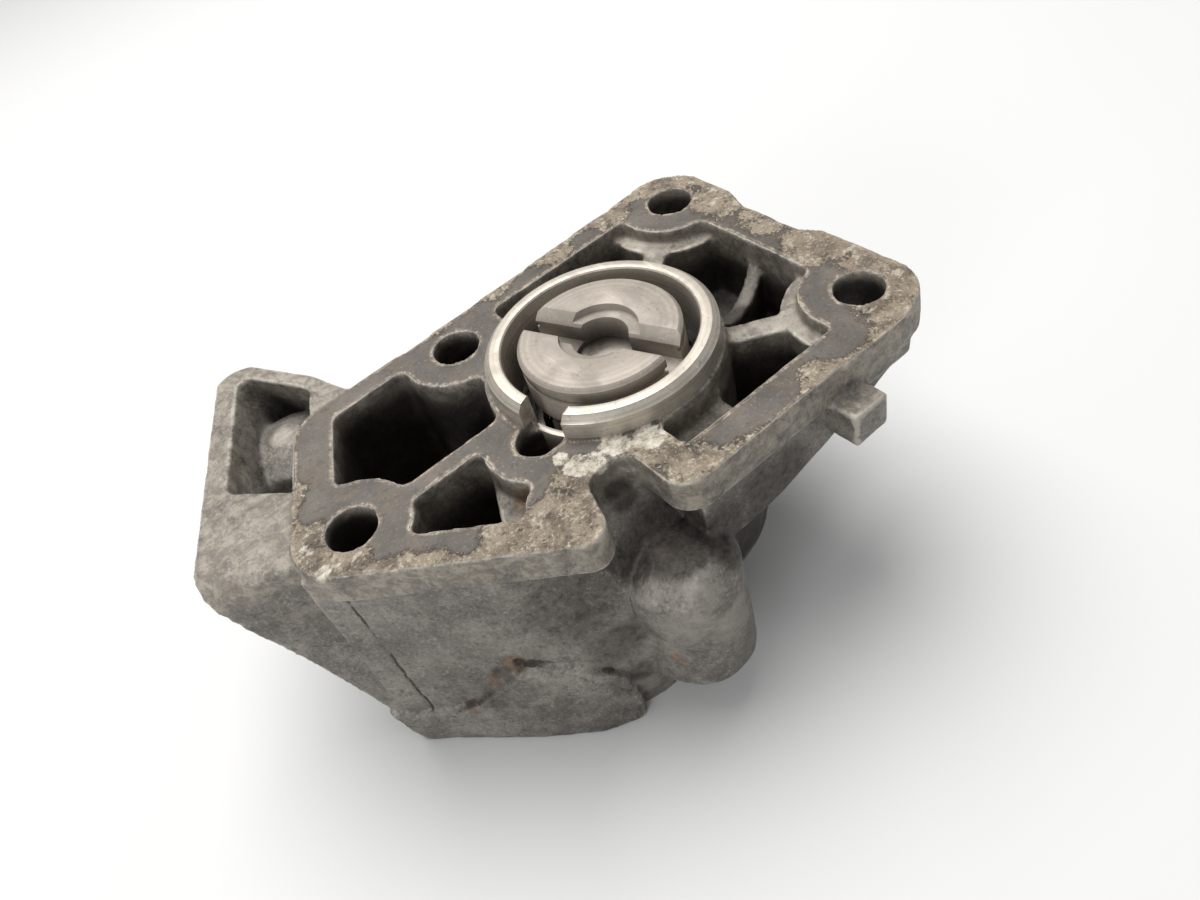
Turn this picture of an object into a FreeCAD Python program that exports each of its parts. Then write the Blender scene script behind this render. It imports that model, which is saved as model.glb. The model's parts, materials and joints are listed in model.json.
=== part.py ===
"""Distributor housing: an aluminium casting that bolts to the end of a cylinder head.

Frame: the origin is on the drive shaft's axis, in the plane of the machined flange face.
+Z points out of that face towards the engine, +X runs along the flange from the slanted coolant
outlet on the left to the two bolt bosses on the right. Lengths are millimetres, angles degrees.
"""
import FreeCAD
import Part
import Sketcher
import math
import os
from FreeCAD import Placement, Rotation, Vector

SIZES = [
    # Flange plate and its outline
    ("flange_thick", 7.0, "thickness of the flange plate"),
    ("flange_right", 48.0, "right edge of the flange from the bore"),
    ("flange_far", 36.0, "far edge of the flange from the bore"),
    ("flange_near", 35.7, "near edge of the flange from the bore"),
    ("flange_waist", 2.4, "how far the right edge is waisted between its two bosses"),
    ("far_dip_right", 1.4, "dip of the far edge beside the far right boss"),
    ("far_dip_left", 3.3, "dip of the far edge beside the far left corner"),
    ("far_corner_drop", 2.2, "dip of the far left corner itself"),
    ("corner_round", 10.0, "radius of the flange's corners"),
    ("left_edge_angle", 63.4, "direction of the flange's left edge"),
    ("left_edge_reach", 59.0, "distance of the left edge from the bore"),
    ("diagonal_angle", -40.2, "direction of the flange's near left edge"),
    ("diagonal_reach", 43.3, "distance of the diagonal edge from the bore"),
    ("rim_width", 7.8, "width of the sealing face round the cavities"),
    ("rim_width_right", 10.5, "width of the sealing face along the right edge"),
    # Bolt holes
    ("bolt_clearance", 9.0, "clearance hole for an M8 bolt"),
    ("bolt_right_x", 38.5, "the two right bolts from the bore"),
    ("bolt_right_y", 25.0, "the two right bolts either side of the bore"),
    ("bolt_middle_x", -17.0, "the middle bolt along the flange"),
    ("bolt_middle_y", 25.0, "the middle bolt across the flange"),
    ("bolt_left_x", -53.5, "the left bolt along the flange"),
    ("bolt_left_y", 1.3, "the left bolt across the flange"),
    ("bolt_boss", 10.8, "radius of the metal round each bolt"),
    ("bolt_grip", 10.5, "length of the right bolts' bosses"),
    # Notch for the spanner on the near side
    ("notch_width", 8.4, "width of the notch"),
    ("notch_x", -17.2, "middle of the notch"),
    ("notch_top", -21.2, "innermost point of the notch"),
    ("notch_flare", 4.2, "how far the notch's left side leans out"),
    ("lobe_round", 4.0, "rounding of the flange beside the notch"),
    # Spigot ring and bore
    ("spigot_radius", 21.3, "outer radius of the machined spigot"),
    ("spigot_base", 21.8, "radius of the narrow rim at the spigot's foot"),
    ("spigot_rise", 4.5, "height of the spigot above the flange face"),
    ("spigot_lead", 1.2, "chamfer round the spigot's top"),
    ("mouth_radius", 18.0, "radius of the bore round the drive coupling"),
    ("mouth_depth", 9.0, "depth of that bore below the flange face"),
    ("mouth_step", 1.2, "distance from the mouth's step to the circlip groove"),
    ("drain_slot_width", 8.4, "slot through the spigot's wall"),
    ("drain_slot_angle", 201.5, "direction of the slot"),
    ("drain_slot_depth", 2.2, "how deep the slot is cut into the flange face"),
    ("drain_hole", 7.8, "oil drain hole beside the spigot"),
    ("drain_hole_x", -21.0, "oil drain hole along the flange"),
    ("drain_hole_y", -7.7, "oil drain hole across the flange"),
    ("drain_hole_depth", 30.0, "depth of the oil drain hole"),
    # Bearings, as 15 x 35 x 11 ball bearings
    ("bearing_outer", 35.0, "bearing outside diameter"),
    ("bearing_bore", 15.0, "bearing bore"),
    ("bearing_width", 11.0, "bearing width"),
    ("outer_race_wall", 2.9, "thickness of the outer race"),
    ("inner_race_wall", 2.9, "thickness of the inner race"),
    ("ball_diameter", 5.95, "ball diameter"),
    ("ball_count", 8, "balls in each bearing"),
    ("ball_gap", 0.05, "running clearance round each ball"),
    ("cage_width", 7.6, "width of the cage ring"),
    ("cage_wall", 1.6, "thickness of the cage ring"),
    ("bearing_spacing", 10.0, "length of the spacer between the bearings"),
    ("spacer_wall", 2.2, "thickness of the spacer"),
    # Rings that hold the bearings
    ("bore_circlip_thick", 1.5, "thickness of the circlip in the bore"),
    ("bore_circlip_width", 2.6, "radial width of the circlip in the bore"),
    ("bore_groove_depth", 1.0, "depth of its groove"),
    ("shaft_circlip_thick", 1.0, "thickness of the circlip on the shaft"),
    ("shaft_circlip_width", 2.2, "radial width of the circlip on the shaft"),
    ("shaft_groove_depth", 0.7, "depth of its groove"),
    ("circlip_play", 0.05, "play each side of a circlip in its groove"),
    ("circlip_opening", 40.0, "angle left open in a circlip"),
    ("circlip_eye", 1.9, "radius of a circlip's eyes"),
    ("circlip_eye_hole", 0.9, "radius of the holes in those eyes"),
    ("preload_room", 1.2, "room taken by the preload washer"),
    ("preload_metal", 0.5, "thickness of the washer's sheet"),
    ("preload_inner", 13.6, "inner radius of the preload washer"),
    ("shoulder_thick", 2.0, "wall behind the rear bearing"),
    ("shoulder_bore", 13.0, "radius of the hole through that wall"),
    # Shaft seal, as 15 x 28 x 7
    ("seal_outer", 28.0, "seal outside diameter"),
    ("seal_width", 7.0, "seal width"),
    ("seal_case_wall", 1.0, "sheet of the seal's case"),
    ("seal_lead", 0.8, "chamfer at the mouth of the seal's seat"),
    ("seal_head", 1.3, "depth of the rubber lip's head in the seal"),
    ("seal_lip_width", 0.9, "radial width of the rubber at its two lips"),
    ("seal_contact", 0.02, "gap at the sealing lip"),
    ("garter_wire", 1.3, "thickness of the garter spring"),
    ("garter_depth", 2.3, "depth of the garter spring in the seal"),
    ("garter_radius", 9.9, "radius of the garter spring's ring"),
    # Drive shaft and its coupling
    ("shaft_end_gap", 1.5, "how far the shaft's slotted end stays inside the neck"),
    ("shaft_slot_width", 4.2, "slot in the shaft's rear end"),
    ("shaft_slot_depth", 4.0, "depth of that slot"),
    ("shaft_chamfer", 0.6, "chamfer on the shaft's ends"),
    ("fit_clearance", 0.02, "clearance of a part pushed onto the shaft"),
    ("coupling_radius", 15.0, "radius of the coupling's disc"),
    ("coupling_rise", 4.78, "height of the disc's face above the flange face"),
    ("coupling_thick", 8.8, "thickness of the disc"),
    ("coupling_edge", 0.7, "chamfer round the disc's face"),
    ("coupling_band", 2.4, "height of the disc's upper band"),
    ("coupling_groove", 0.6, "depth of the turned groove below that band"),
    ("coupling_groove_width", 0.9, "width of the turned groove"),
    ("coupling_hub_radius", 10.0, "radius of the coupling's hub"),
    ("coupling_recess_radius", 7.3, "radius of the countersunk recess"),
    ("coupling_hole_radius", 5.2, "radius of the hole under the recess"),
    ("coupling_recess_depth", 1.4, "depth of the countersunk recess"),
    ("coupling_shaft_depth", 6.0, "depth of the shaft's end below the disc's face"),
    ("drive_slot_width", 4.7, "width of the offset drive slot"),
    ("drive_slot_offset", 0.75, "distance of the slot from the shaft's axis"),
    ("drive_slot_depth", 5.0, "depth of the drive slot"),
    ("drive_slot_angle", 112.5, "direction of the drive slot at rest"),
    ("drive_slot_lead", 1.9, "chamfer along one side of the drive slot"),
    ("pin_diameter", 3.0, "roll pin through hub and shaft"),
    ("pin_bore", 1.4, "hole along the roll pin"),
    ("pin_slit", 0.5, "slit along the roll pin"),
    ("pin_short", 0.6, "how much shorter the roll pin is than the hub is wide"),
    ("pin_depth", 8.0, "depth of the roll pin below the flange face"),
    # Central tube and rear neck
    ("tube_radius", 25.0, "outer radius of the central tube"),
    ("tube_bottom", 47.0, "end of the tube below the flange face"),
    ("tube_edge", 2.5, "rounding of the tube's end"),
    ("neck_radius", 20.4, "outer radius of the rear neck"),
    ("body_depth", 56.0, "depth of the housing below the flange face"),
    ("register_radius", 23.6, "radius of the recess round the neck"),
    ("register_depth", 7.0, "depth of that recess"),
    ("o_ring_wire", 2.4, "thickness of the O-ring on the neck"),
    ("o_ring_groove_depth", 1.9, "depth of its groove"),
    ("o_ring_groove_width", 3.0, "width of its groove"),
    ("o_ring_from_end", 4.5, "middle of the O-ring from the neck's end"),
    # Screw bosses for the distributor
    ("screw_circle", 34.0, "distance of the screw bosses from the shaft"),
    ("screw_angle", -114.3, "direction of the near screw boss"),
    ("screw_boss_radius", 10.0, "radius of the screw bosses"),
    ("screw_boss_top", 16.0, "top of the screw bosses' shoulders below the flange face"),
    ("screw_boss_shoulder", 5.0, "height and width of those sloping shoulders"),
    ("screw_boss_end", 47.5, "machined end of the screw bosses"),
    ("screw_boss_edge", 2.0, "rounding of that end"),
    ("screw_thread", 8.0, "thread of the distributor's screws"),
    ("screw_depth", 16.0, "depth of the threaded inserts"),
    ("insert_wall", 0.7, "thickness of the threaded inserts"),
    # Walls and cavities
    ("wall_inset", 1.0, "how far the cast walls stand in from the flange's edge"),
    ("wall_right", 2.0, "the same under the right half"),
    ("foot_bend_x", -35.3, "where the near wall turns towards the screw boss"),
    ("foot_near", 29.0, "distance of that stretch of wall from the bore"),
    ("foot_run", 11.0, "length of the turn towards the screw boss"),
    ("foot_rise", 3.0, "how far that turn comes out"),
    ("wall_round", 12.0, "rounding of the near wall beside the notch"),
    ("funnel_slope", 27.0, "slope of the right half's underside"),
    ("funnel_radius", 36.0, "radius of the underside's lower edge"),
    ("divider_near", -2.0, "near side of the wall between the two left cavities"),
    ("divider_far", 2.2, "far side of the wall between the two left cavities"),
    ("cavity_round", 2.0, "rounding in the cavities' corners"),
    ("coolant_depth", 43.0, "depth of the coolant cavity"),
    ("relief_depth", 34.0, "depth of the small left cavity"),
    ("relief_shelf", 5.0, "depth of the shelf at its right end"),
    ("relief_shelf_x", -28.2, "where that shelf starts, in line with the bore"),
    ("relief_shelf_lean", 17.0, "how much the shelf's edge leans over the flange's near half"),
    ("relief_end_x", -25.0, "right end of the small left cavity"),
    ("drain_boss", 9.6, "radius of the metal round the oil drain hole"),
    ("bore_boss", 22.6, "radius of the metal round the bore at the coolant cavity"),
    ("sump_right", 34.0, "right end of the deep part of the oil cavity"),
    ("sump_near", 3.0, "near side of the deep part of the oil cavity"),
    ("oil_depth", 25.0, "depth of the oil cavity round the bore"),
    ("oil_depth_near", 16.5, "depth of its near right part"),
    ("oil_shelf", 5.5, "depth of its near left part"),
    ("oil_shelf_x", 8.0, "where that part ends"),
    ("oil_left_x", -6.0, "left end of the oil cavity"),
    ("oil_throat_depth", 23.0, "depth close round the spigot"),
    ("oil_throat_radius", 30.0, "radius of that deeper stretch"),
    ("oil_floor", 3.5, "thickness of the floor under the oil cavity"),
    ("near_wall_depth", 19.5, "depth of the near wall under the right half"),
    ("boss_ledge", 3.0, "depth of the ledges round the two right bolts"),
    ("boss_ledge_radius", 13.8, "radius of those ledges"),
    ("web_top", 3.4, "depth of the straight ribs' tops"),
    ("web_thick", 4.6, "thickness of the straight ribs"),
    ("scallop_thick", 3.2, "thickness of the scalloped rib"),
    ("scallop_near", -6.5, "scalloped rib's place across the flange at the spigot"),
    ("scallop_far", 0.2, "the same at the right wall"),
    ("scallop_scoop", 5.5, "depth of the scoop in its top"),
    # Lug on the near side
    ("lug_left", 18.5, "left side of the lug"),
    ("lug_width", 8.0, "width of the lug"),
    ("lug_reach", 5.6, "how far the lug stands out"),
    ("lug_top", 6.5, "top of the lug below the flange face"),
    ("lug_thick", 7.0, "height of the lug"),
    ("proud_pad_x", 22.0, "where the thicker stretch of the near edge starts"),
    ("proud_pad_thick", 8.8, "thickness of that stretch"),
    ("proud_pad_out", 0.5, "how far it stands out"),
    # Slanted coolant outlet on the left
    ("outlet_reach", 77.6, "distance of the outlet face's top from the bore"),
    ("outlet_slant", 20.5, "lean of the outlet face"),
    ("outlet_near", -20.6, "near end of the outlet face along the left edge"),
    ("outlet_length", 54.6, "length of the outlet face"),
    ("outlet_top_drop", 1.5, "depth of the outlet's top below the flange face"),
    ("outlet_plate", 5.3, "thickness of the plate behind the outlet face"),
    ("outlet_round", 5.5, "rounding of the outlet's near top edge"),
    ("outlet_dip", 3.2, "how far the outlet's near side dips in beside the body"),
    ("outlet_dip_top", 4.2, "the same at the outlet's top"),
    ("outlet_dip_foot", 19.0, "depth of the crease under that dip"),
    ("outlet_dip_end", 3.0, "distance of the dip's shallow end from the outlet face"),
    ("outlet_dip_least", 0.1, "how far the side dips in at that end"),
    ("outlet_dip_foot_end", 5.7, "depth of the crease at that end"),
    ("outlet_corner", 6.0, "rounding of the outlet face's far corner"),
    ("pocket_depth", 13.0, "depth of the pocket behind the outlet plate"),
    ("pocket_rim", 3.6, "thickness of the pocket's far rim"),
    ("pocket_near", -3.2, "near end of the pocket along the outlet plate"),
    ("pocket_skew", 6.0, "how much nearer the pocket ends at the flange"),
    ("dome_radius", 11.5, "radius of the round swelling in the pocket"),
    ("dome_top", 7.5, "top of that swelling below the flange face"),
    ("dome_height", 5.5, "height of the swelling's round top"),
    ("dome_reach", 64.3, "swelling's distance from the bore along the outlet's direction"),
    ("dome_along", 14.2, "swelling's place along the left edge"),
    ("ejector_radius", 3.3, "radius of the ejector mark"),
    ("ejector_rise", 0.5, "height of the ejector mark"),
    ("ejector_land", 0.6, "flat left round the ejector mark"),
    ("port_radius", 8.5, "radius of the coolant port"),
    ("port_along", 4.0, "port's place along the outlet face"),
    ("port_down", 46.0, "port's place down the outlet face"),
    ("port_screw", 6.8, "tapping hole for the outlet's screws"),
    ("port_screw_reach", 14.0, "distance of the outlet's screws from the port"),
    ("port_screw_angle", 8.0, "direction of the outlet's screws"),
    ("port_screw_depth", 9.0, "depth of the outlet's screw holes"),
    # Rear lip
    ("lip_height", 24.6, "height of the thickened lip's peak along the near wall's foot"),
    ("lip_height_start", 8.1, "the lip's height at its start"),
    ("lip_height_bend", 19.7, "the lip's height where it turns with the wall"),
    ("lip_height_end", 7.4, "the lip's height at its end"),
    ("lip_out", 1.6, "how far that lip stands out"),
    ("lip_out_start", 0.2, "how far it stands out at its start"),
    ("lip_step", 1.2, "height of the slope at the lip's top"),
    ("lip_root", 6.0, "how far the lip reaches into the wall"),
    ("lip_start", 8.5, "start of the lip from the left corner"),
    ("lip_peak", 26.5, "the lip's peak from the left corner"),
    ("lip_bend", 37.0, "where the lip turns with the wall, from the left corner"),
    ("lip_end_x", -29.8, "end of the lip along the flange"),
]

# Heights and radii that follow from the sizes
PLACES = [
    ("groove_top", "=-sizes.mouth_depth - sizes.mouth_step", "top of the circlip groove in the bore"),
    ("groove_foot", "=groove_top - sizes.bore_circlip_thick - 2 * sizes.circlip_play", "foot of that groove"),
    ("front_bearing_top", "=groove_foot + sizes.circlip_play", "top of the front bearing"),
    ("front_bearing_end", "=front_bearing_top - sizes.bearing_width", "end of the front bearing"),
    ("rear_bearing_top", "=front_bearing_end - sizes.bearing_spacing", "top of the rear bearing"),
    ("rear_bearing_end", "=rear_bearing_top - sizes.bearing_width", "end of the rear bearing"),
    ("shoulder_top", "=rear_bearing_end - sizes.preload_room", "wall behind the rear bearing"),
    ("seal_top", "=shoulder_top - sizes.shoulder_thick", "inner end of the seal"),
    ("seal_end", "=seal_top - sizes.seal_width", "outer end of the seal"),
    ("seat_radius", "=sizes.bearing_outer / 2 + sizes.fit_clearance", "radius of the bearings' seat"),
    ("shaft_radius", "=sizes.bearing_bore / 2 - sizes.fit_clearance", "radius of the drive shaft"),
    ("shaft_top", "=sizes.coupling_rise - sizes.coupling_shaft_depth", "the shaft's end in the coupling"),
    ("shaft_end", "=-sizes.body_depth + sizes.shaft_end_gap", "the shaft's slotted end"),
    ("ball_circle", "=(sizes.bearing_outer + sizes.bearing_bore) / 4", "radius that the balls run on"),
    ("ball_room", "=sizes.ball_diameter / 2 + sizes.ball_gap", "radius of a ball with its clearance"),
]

doc = FreeCAD.newDocument("distributor_housing")


def filled_sheet(name, rows):
    """A spreadsheet with one named value in each row."""
    made = doc.addObject("Spreadsheet::Sheet", name)
    for row, (alias, value, meaning) in enumerate(rows, start=1):
        made.set("A%d" % row, meaning)
        made.set("B%d" % row, str(value))
        made.setAlias("B%d" % row, alias)
    return made


sizes = filled_sheet("sizes", SIZES)
places = filled_sheet("places", PLACES)
doc.recompute()

# A length well past the part, for cuts that go right through it
FAR = 200.0


def size(alias):
    """The value of one named size or place."""
    derived = alias in [row[0] for row in PLACES]
    return float((places if derived else sizes).get(alias))


def heading(angle):
    """The unit vector in the flange's plane at an angle from +X."""
    turn = math.radians(angle)
    return Vector(math.cos(turn), math.sin(turn), 0)


def left_edge_normal():
    """The outward direction of the flange's left edge."""
    return heading(size("left_edge_angle") + 90)


def crossing(reach_a, normal_a, reach_b, normal_b):
    """The point at two distances from the origin along two directions."""
    det = normal_a.x * normal_b.y - normal_a.y * normal_b.x
    x = (reach_a * normal_b.y - reach_b * normal_a.y) / det
    y = (normal_a.x * reach_b - normal_b.x * reach_a) / det
    return Vector(x, y, 0)


# Flat regions

def rounded(corners):
    """A face whose corners (x, y, radius) are joined by lines and tangent arcs."""
    edges = []
    last = None
    first = None
    count = len(corners)
    for index in range(count):
        before = Vector(*corners[index - 1][:2], 0)
        here = Vector(*corners[index][:2], 0)
        after = Vector(*corners[(index + 1) % count][:2], 0)
        radius = corners[index][2]
        towards = (before - here).normalize()
        onwards = (after - here).normalize()
        half = towards.getAngle(onwards) / 2
        if radius > 0 and abs(half - math.pi / 2) > 1e-3:
            back = radius / math.tan(half)
            start = here + towards * back
            end = here + onwards * back
            middle_line = (towards + onwards).normalize()
            centre = here + middle_line * (radius / math.sin(half))
            middle = centre - middle_line * radius
        else:
            start = end = here
            middle = None
        if last is not None and last.distanceToPoint(start) > 1e-6:
            edges.append(Part.LineSegment(last, start).toShape())
        if middle is not None:
            edges.append(Part.Arc(start, middle, end).toShape())
        if first is None:
            first = start
        last = end
    if last.distanceToPoint(first) > 1e-6:
        edges.append(Part.LineSegment(last, first).toShape())
    return Part.Face(Part.Wire(Part.sortEdges(edges)[0]))


def disc(x, y, radius):
    """A round face."""
    return Part.Face(Part.Wire(Part.makeCircle(radius, Vector(x, y, 0))))


def band(start, end, width):
    """A straight strip between two points."""
    along = (end - start).normalize()
    side = Vector(-along.y, along.x, 0) * (width / 2)
    corners = [start + side, start - side, end - side, end + side]
    return Part.Face(Part.makePolygon(corners + corners[:1]))


def box_face(left, right, near, far):
    """A rectangle between four limits."""
    corners = [Vector(left, near, 0), Vector(right, near, 0), Vector(right, far, 0), Vector(left, far, 0)]
    return Part.Face(Part.makePolygon(corners + corners[:1]))


def shrunk(face, amount):
    """The face with its outline moved in."""
    return face.makeOffset2D(-amount, join=2)


def softened(face, radius):
    """The face with every corner rounded, inside and out."""
    inner = face.makeOffset2D(-radius, join=2)
    outer = inner.makeOffset2D(radius, join=0)
    wider = outer.makeOffset2D(radius * 0.9, join=2)
    return wider.makeOffset2D(-radius * 0.9, join=0)


def largest(shape):
    """The largest face of a boolean's result."""
    return max(shape.Faces, key=lambda face: face.Area)


def flange_outline(inset=0.0, dipped=True):
    """The flange's outline, moved in by an inset, with or without the dips in its far edge."""
    right = size("flange_right") - inset
    far = size("flange_far") - inset
    near = -size("flange_near") + inset
    waist = right - size("flange_waist")
    edge = heading(size("left_edge_angle") + 90)
    diagonal = heading(size("diagonal_angle") - 90)
    edge_reach = size("left_edge_reach") - inset
    diagonal_reach = size("diagonal_reach") - inset
    dips = [size("far_dip_right"), size("far_dip_left"), size("far_corner_drop")] if dipped else [0, 0, 0]
    top_left = crossing(edge_reach, edge, far - dips[2], Vector(0, 1, 0))
    left = crossing(edge_reach, edge, diagonal_reach, diagonal)
    dip_right_x = size("bolt_right_x") - size("bolt_boss") + 2
    dip_left_x = size("bolt_middle_x") - size("bolt_boss") / 2
    big = size("corner_round") - inset
    lobe = size("lobe_round") - inset
    half = size("notch_width") / 2 + inset
    top = size("notch_top") + inset
    notch_left = size("notch_x") - half
    flare_x = notch_left - size("notch_flare")
    diagonal_at = (diagonal_reach - diagonal.x * flare_x) / diagonal.y
    notch_right = size("notch_x") + half
    in_round = half * 0.93
    return rounded([
        (right, far, big),
        (dip_right_x, far - dips[0], 0),
        (dip_left_x, far - dips[1], 0),
        (top_left.x, top_left.y, big),
        (left.x, left.y, big),
        (flare_x, diagonal_at, lobe),
        (notch_left, top, in_round),
        (notch_right, top, in_round),
        (notch_right - size("notch_flare") * 0.1, near, lobe + 1),
        (right, near, big),
        (right, -size("bolt_right_y") + big + 6, 4),
        (waist, -4, 4),
        (waist, 10, 4),
        (right, size("bolt_right_y") - big + 2, 4),
    ])


def coolant_region():
    """The deep cavity that coolant flows through."""
    rim = size("rim_width")
    inner = flange_outline(rim, dipped=False)
    boss = size("bolt_boss")
    window = box_face(-FAR, size("bolt_middle_x"), size("divider_far"), FAR)
    region = inner.common(window)
    for hole, radius in (("middle", boss), ("left", boss)):
        region = region.cut(disc(size("bolt_%s_x" % hole), size("bolt_%s_y" % hole), radius))
    region = region.cut(disc(0, 0, size("bore_boss")))
    region = region.cut(disc(size("drain_hole_x"), size("drain_hole_y"), size("drain_boss")))
    return softened(largest(region), size("cavity_round"))


def relief_region():
    """The small cavity beside the oil drain hole."""
    inner = flange_outline(size("rim_width") - 0.8, dipped=False)
    window = box_face(-FAR, size("relief_end_x"), -FAR, size("divider_near"))
    region = inner.common(window)
    region = region.cut(disc(size("bolt_left_x"), size("bolt_left_y"), size("bolt_boss")))
    region = region.cut(disc(size("drain_hole_x"), size("drain_hole_y"), size("drain_boss")))
    return softened(largest(region), size("cavity_round") * 0.8)


def oil_region():
    """The cavity that wraps round the spigot's right side."""
    rim = size("rim_width")
    right = size("flange_right") - size("rim_width_right")
    region = box_face(size("oil_left_x"), right, -size("flange_near") + rim - 0.4, size("flange_far") - rim)
    for side in (1, -1):
        region = region.cut(disc(size("bolt_right_x"), side * size("bolt_right_y"), size("bolt_boss")))
    region = region.cut(disc(0, 0, size("spigot_base")))
    return softened(largest(region), size("cavity_round") * 0.8)


# Building blocks of the casting

def origin_plane(body, role="XY_Plane"):
    """One of a body's own origin planes."""
    for feature in body.Origin.OriginFeatures:
        if feature.Role == role:
            return feature
    raise RuntimeError("no plane " + role)


def sketch(body, name, depth=None, role="XY_Plane"):
    """A sketch on an origin plane, or a depth below the flange face."""
    drawing = body.newObject("Sketcher::SketchObject", name)
    drawing.AttachmentSupport = [(origin_plane(body, role), "")]
    drawing.MapMode = "FlatFace"
    if depth is not None:
        drawing.setExpression("AttachmentOffset.Base.z", depth)
    return drawing


def draw(drawing, *faces):
    """Put the outlines of flat faces into a sketch."""
    for face in faces:
        for edge in face.Edges:
            start = edge.valueAt(edge.FirstParameter)
            end = edge.valueAt(edge.LastParameter)
            middle = edge.valueAt((edge.FirstParameter + edge.LastParameter) / 2)
            if edge.Curve.TypeId == "Part::GeomLine":
                drawing.addGeometry(Part.LineSegment(start, end), False)
            elif start.distanceToPoint(end) < 1e-6:
                drawing.addGeometry(edge.Curve, False)
            else:
                drawing.addGeometry(Part.Arc(start, middle, end), False)


def circle(drawing, x, y, radius):
    """A circle whose place and radius follow expressions."""
    index = drawing.addGeometry(Part.Circle(Vector(1, 1, 0), Vector(0, 0, 1), 1), False)
    for kind, first, value in (("DistanceX", True, x), ("DistanceY", True, y), ("Radius", False, radius)):
        if first:
            number = drawing.addConstraint(Sketcher.Constraint(kind, -1, 1, index, 3, 1.0))
        else:
            number = drawing.addConstraint(Sketcher.Constraint(kind, index, 1.0))
        drawing.setExpression("Constraints[%d]" % number, value)


def extrude(body, kind, drawing, length, up=False):
    """Pad or pocket a sketch by an expression, down unless up is set."""
    feature = body.newObject("PartDesign::" + kind, drawing.Name + "_" + kind.lower())
    feature.Profile = drawing
    feature.setExpression("Length", length)
    if kind == "Pad":
        feature.Reversed = not up
    else:
        feature.Reversed = up
    feature.Refine = False
    drawing.Visibility = False
    return feature


def pad(body, drawing, length, up=False):
    return extrude(body, "Pad", drawing, length, up)


def pocket(body, drawing, length, up=False):
    return extrude(body, "Pocket", drawing, length, up)


def turned(body, name, points, kind="Revolution"):
    """Revolve a closed profile of (radius, height) points about the shaft's axis."""
    drawing = sketch(body, name, role="XZ_Plane")
    count = len(points)
    for index in range(count):
        start = Vector(*points[index], 0)
        end = Vector(*points[(index + 1) % count], 0)
        if start.distanceToPoint(end) > 1e-6:
            drawing.addGeometry(Part.LineSegment(start, end), False)
    feature = body.newObject("PartDesign::" + kind, name + "_turned")
    feature.Profile = drawing
    feature.ReferenceAxis = (drawing, ["V_Axis"])
    feature.Angle = 360
    feature.Refine = False
    return feature


def sketch_at(body, name, base, across, upward):
    """A sketch at a point whose own axes run across and upward."""
    drawing = sketch(body, name)
    outward = across.cross(upward)
    drawing.AttachmentOffset = Placement(base, Rotation(across, upward, outward, "XYZ"))
    return drawing


def column(body, name, x, y, points):
    """Revolve a closed profile about a vertical line through a point."""
    feature = turned(body, name, points)
    drawing = feature.Profile[0]
    drawing.AttachmentOffset = Placement(Vector(x, 0, -y), Rotation())
    return feature


# The slanted coolant outlet

def outlet_point(reach, along, height=0.0):
    """A point at a distance out along the outlet's direction and along the left edge."""
    edge = heading(size("left_edge_angle"))
    return left_edge_normal() * reach + edge * along + Vector(0, 0, height)


def arm_plan():
    """The outlet's outline seen from above."""
    reach = size("outlet_reach")
    near_end = crossing(reach, left_edge_normal(),
                        size("diagonal_reach") - size("wall_inset"), heading(size("diagonal_angle") - 90))
    body_near = crossing(size("left_edge_reach") - 6, left_edge_normal(),
                         size("diagonal_reach") - size("wall_inset"), heading(size("diagonal_angle") - 90))
    far = size("outlet_near") + size("outlet_length")
    shoulder = outlet_point(reach - 8, far - 1.5)
    bend = outlet_point(size("left_edge_reach") - 2.5, far - 11)
    root = outlet_point(size("left_edge_reach") - 11, far - 20)
    inside = outlet_point(size("left_edge_reach") - 12, 0)
    tip = outlet_point(reach, far)
    return rounded([
        (near_end.x, near_end.y, 0),
        (tip.x, tip.y, size("outlet_corner")),
        (shoulder.x, shoulder.y, 0),
        (bend.x, bend.y, 6),
        (root.x, root.y, 0),
        (inside.x, inside.y, 0),
        (body_near.x, body_near.y, 0),
    ])


def recess_plan():
    """The pocket behind the outlet plate, seen from above."""
    inner = shrunk(arm_plan(), size("pocket_rim"))
    plate = size("outlet_reach") - size("outlet_plate")
    near = size("pocket_near")
    wall = size("left_edge_reach") - size("wall_inset") - 1
    limits = [outlet_point(plate, near), outlet_point(plate, FAR / 2),
              outlet_point(wall, FAR / 2), outlet_point(wall, near - size("pocket_skew"))]
    window = Part.Face(Part.makePolygon(limits + limits[:1]))
    return softened(largest(inner.common(window)), size("cavity_round"))


def outlet_axes():
    """The outlet face's directions across and up, seen from outside."""
    lean = math.radians(size("outlet_slant"))
    outward = left_edge_normal() * math.cos(lean) - Vector(0, 0, math.sin(lean))
    across = heading(size("left_edge_angle") + 180)
    return across, outward.cross(across)


def outlet_frame_point(along, down):
    """A point on the slanted face, from its top edge."""
    upward = outlet_axes()[1]
    return outlet_point(size("outlet_reach"), along) - upward * down


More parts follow.
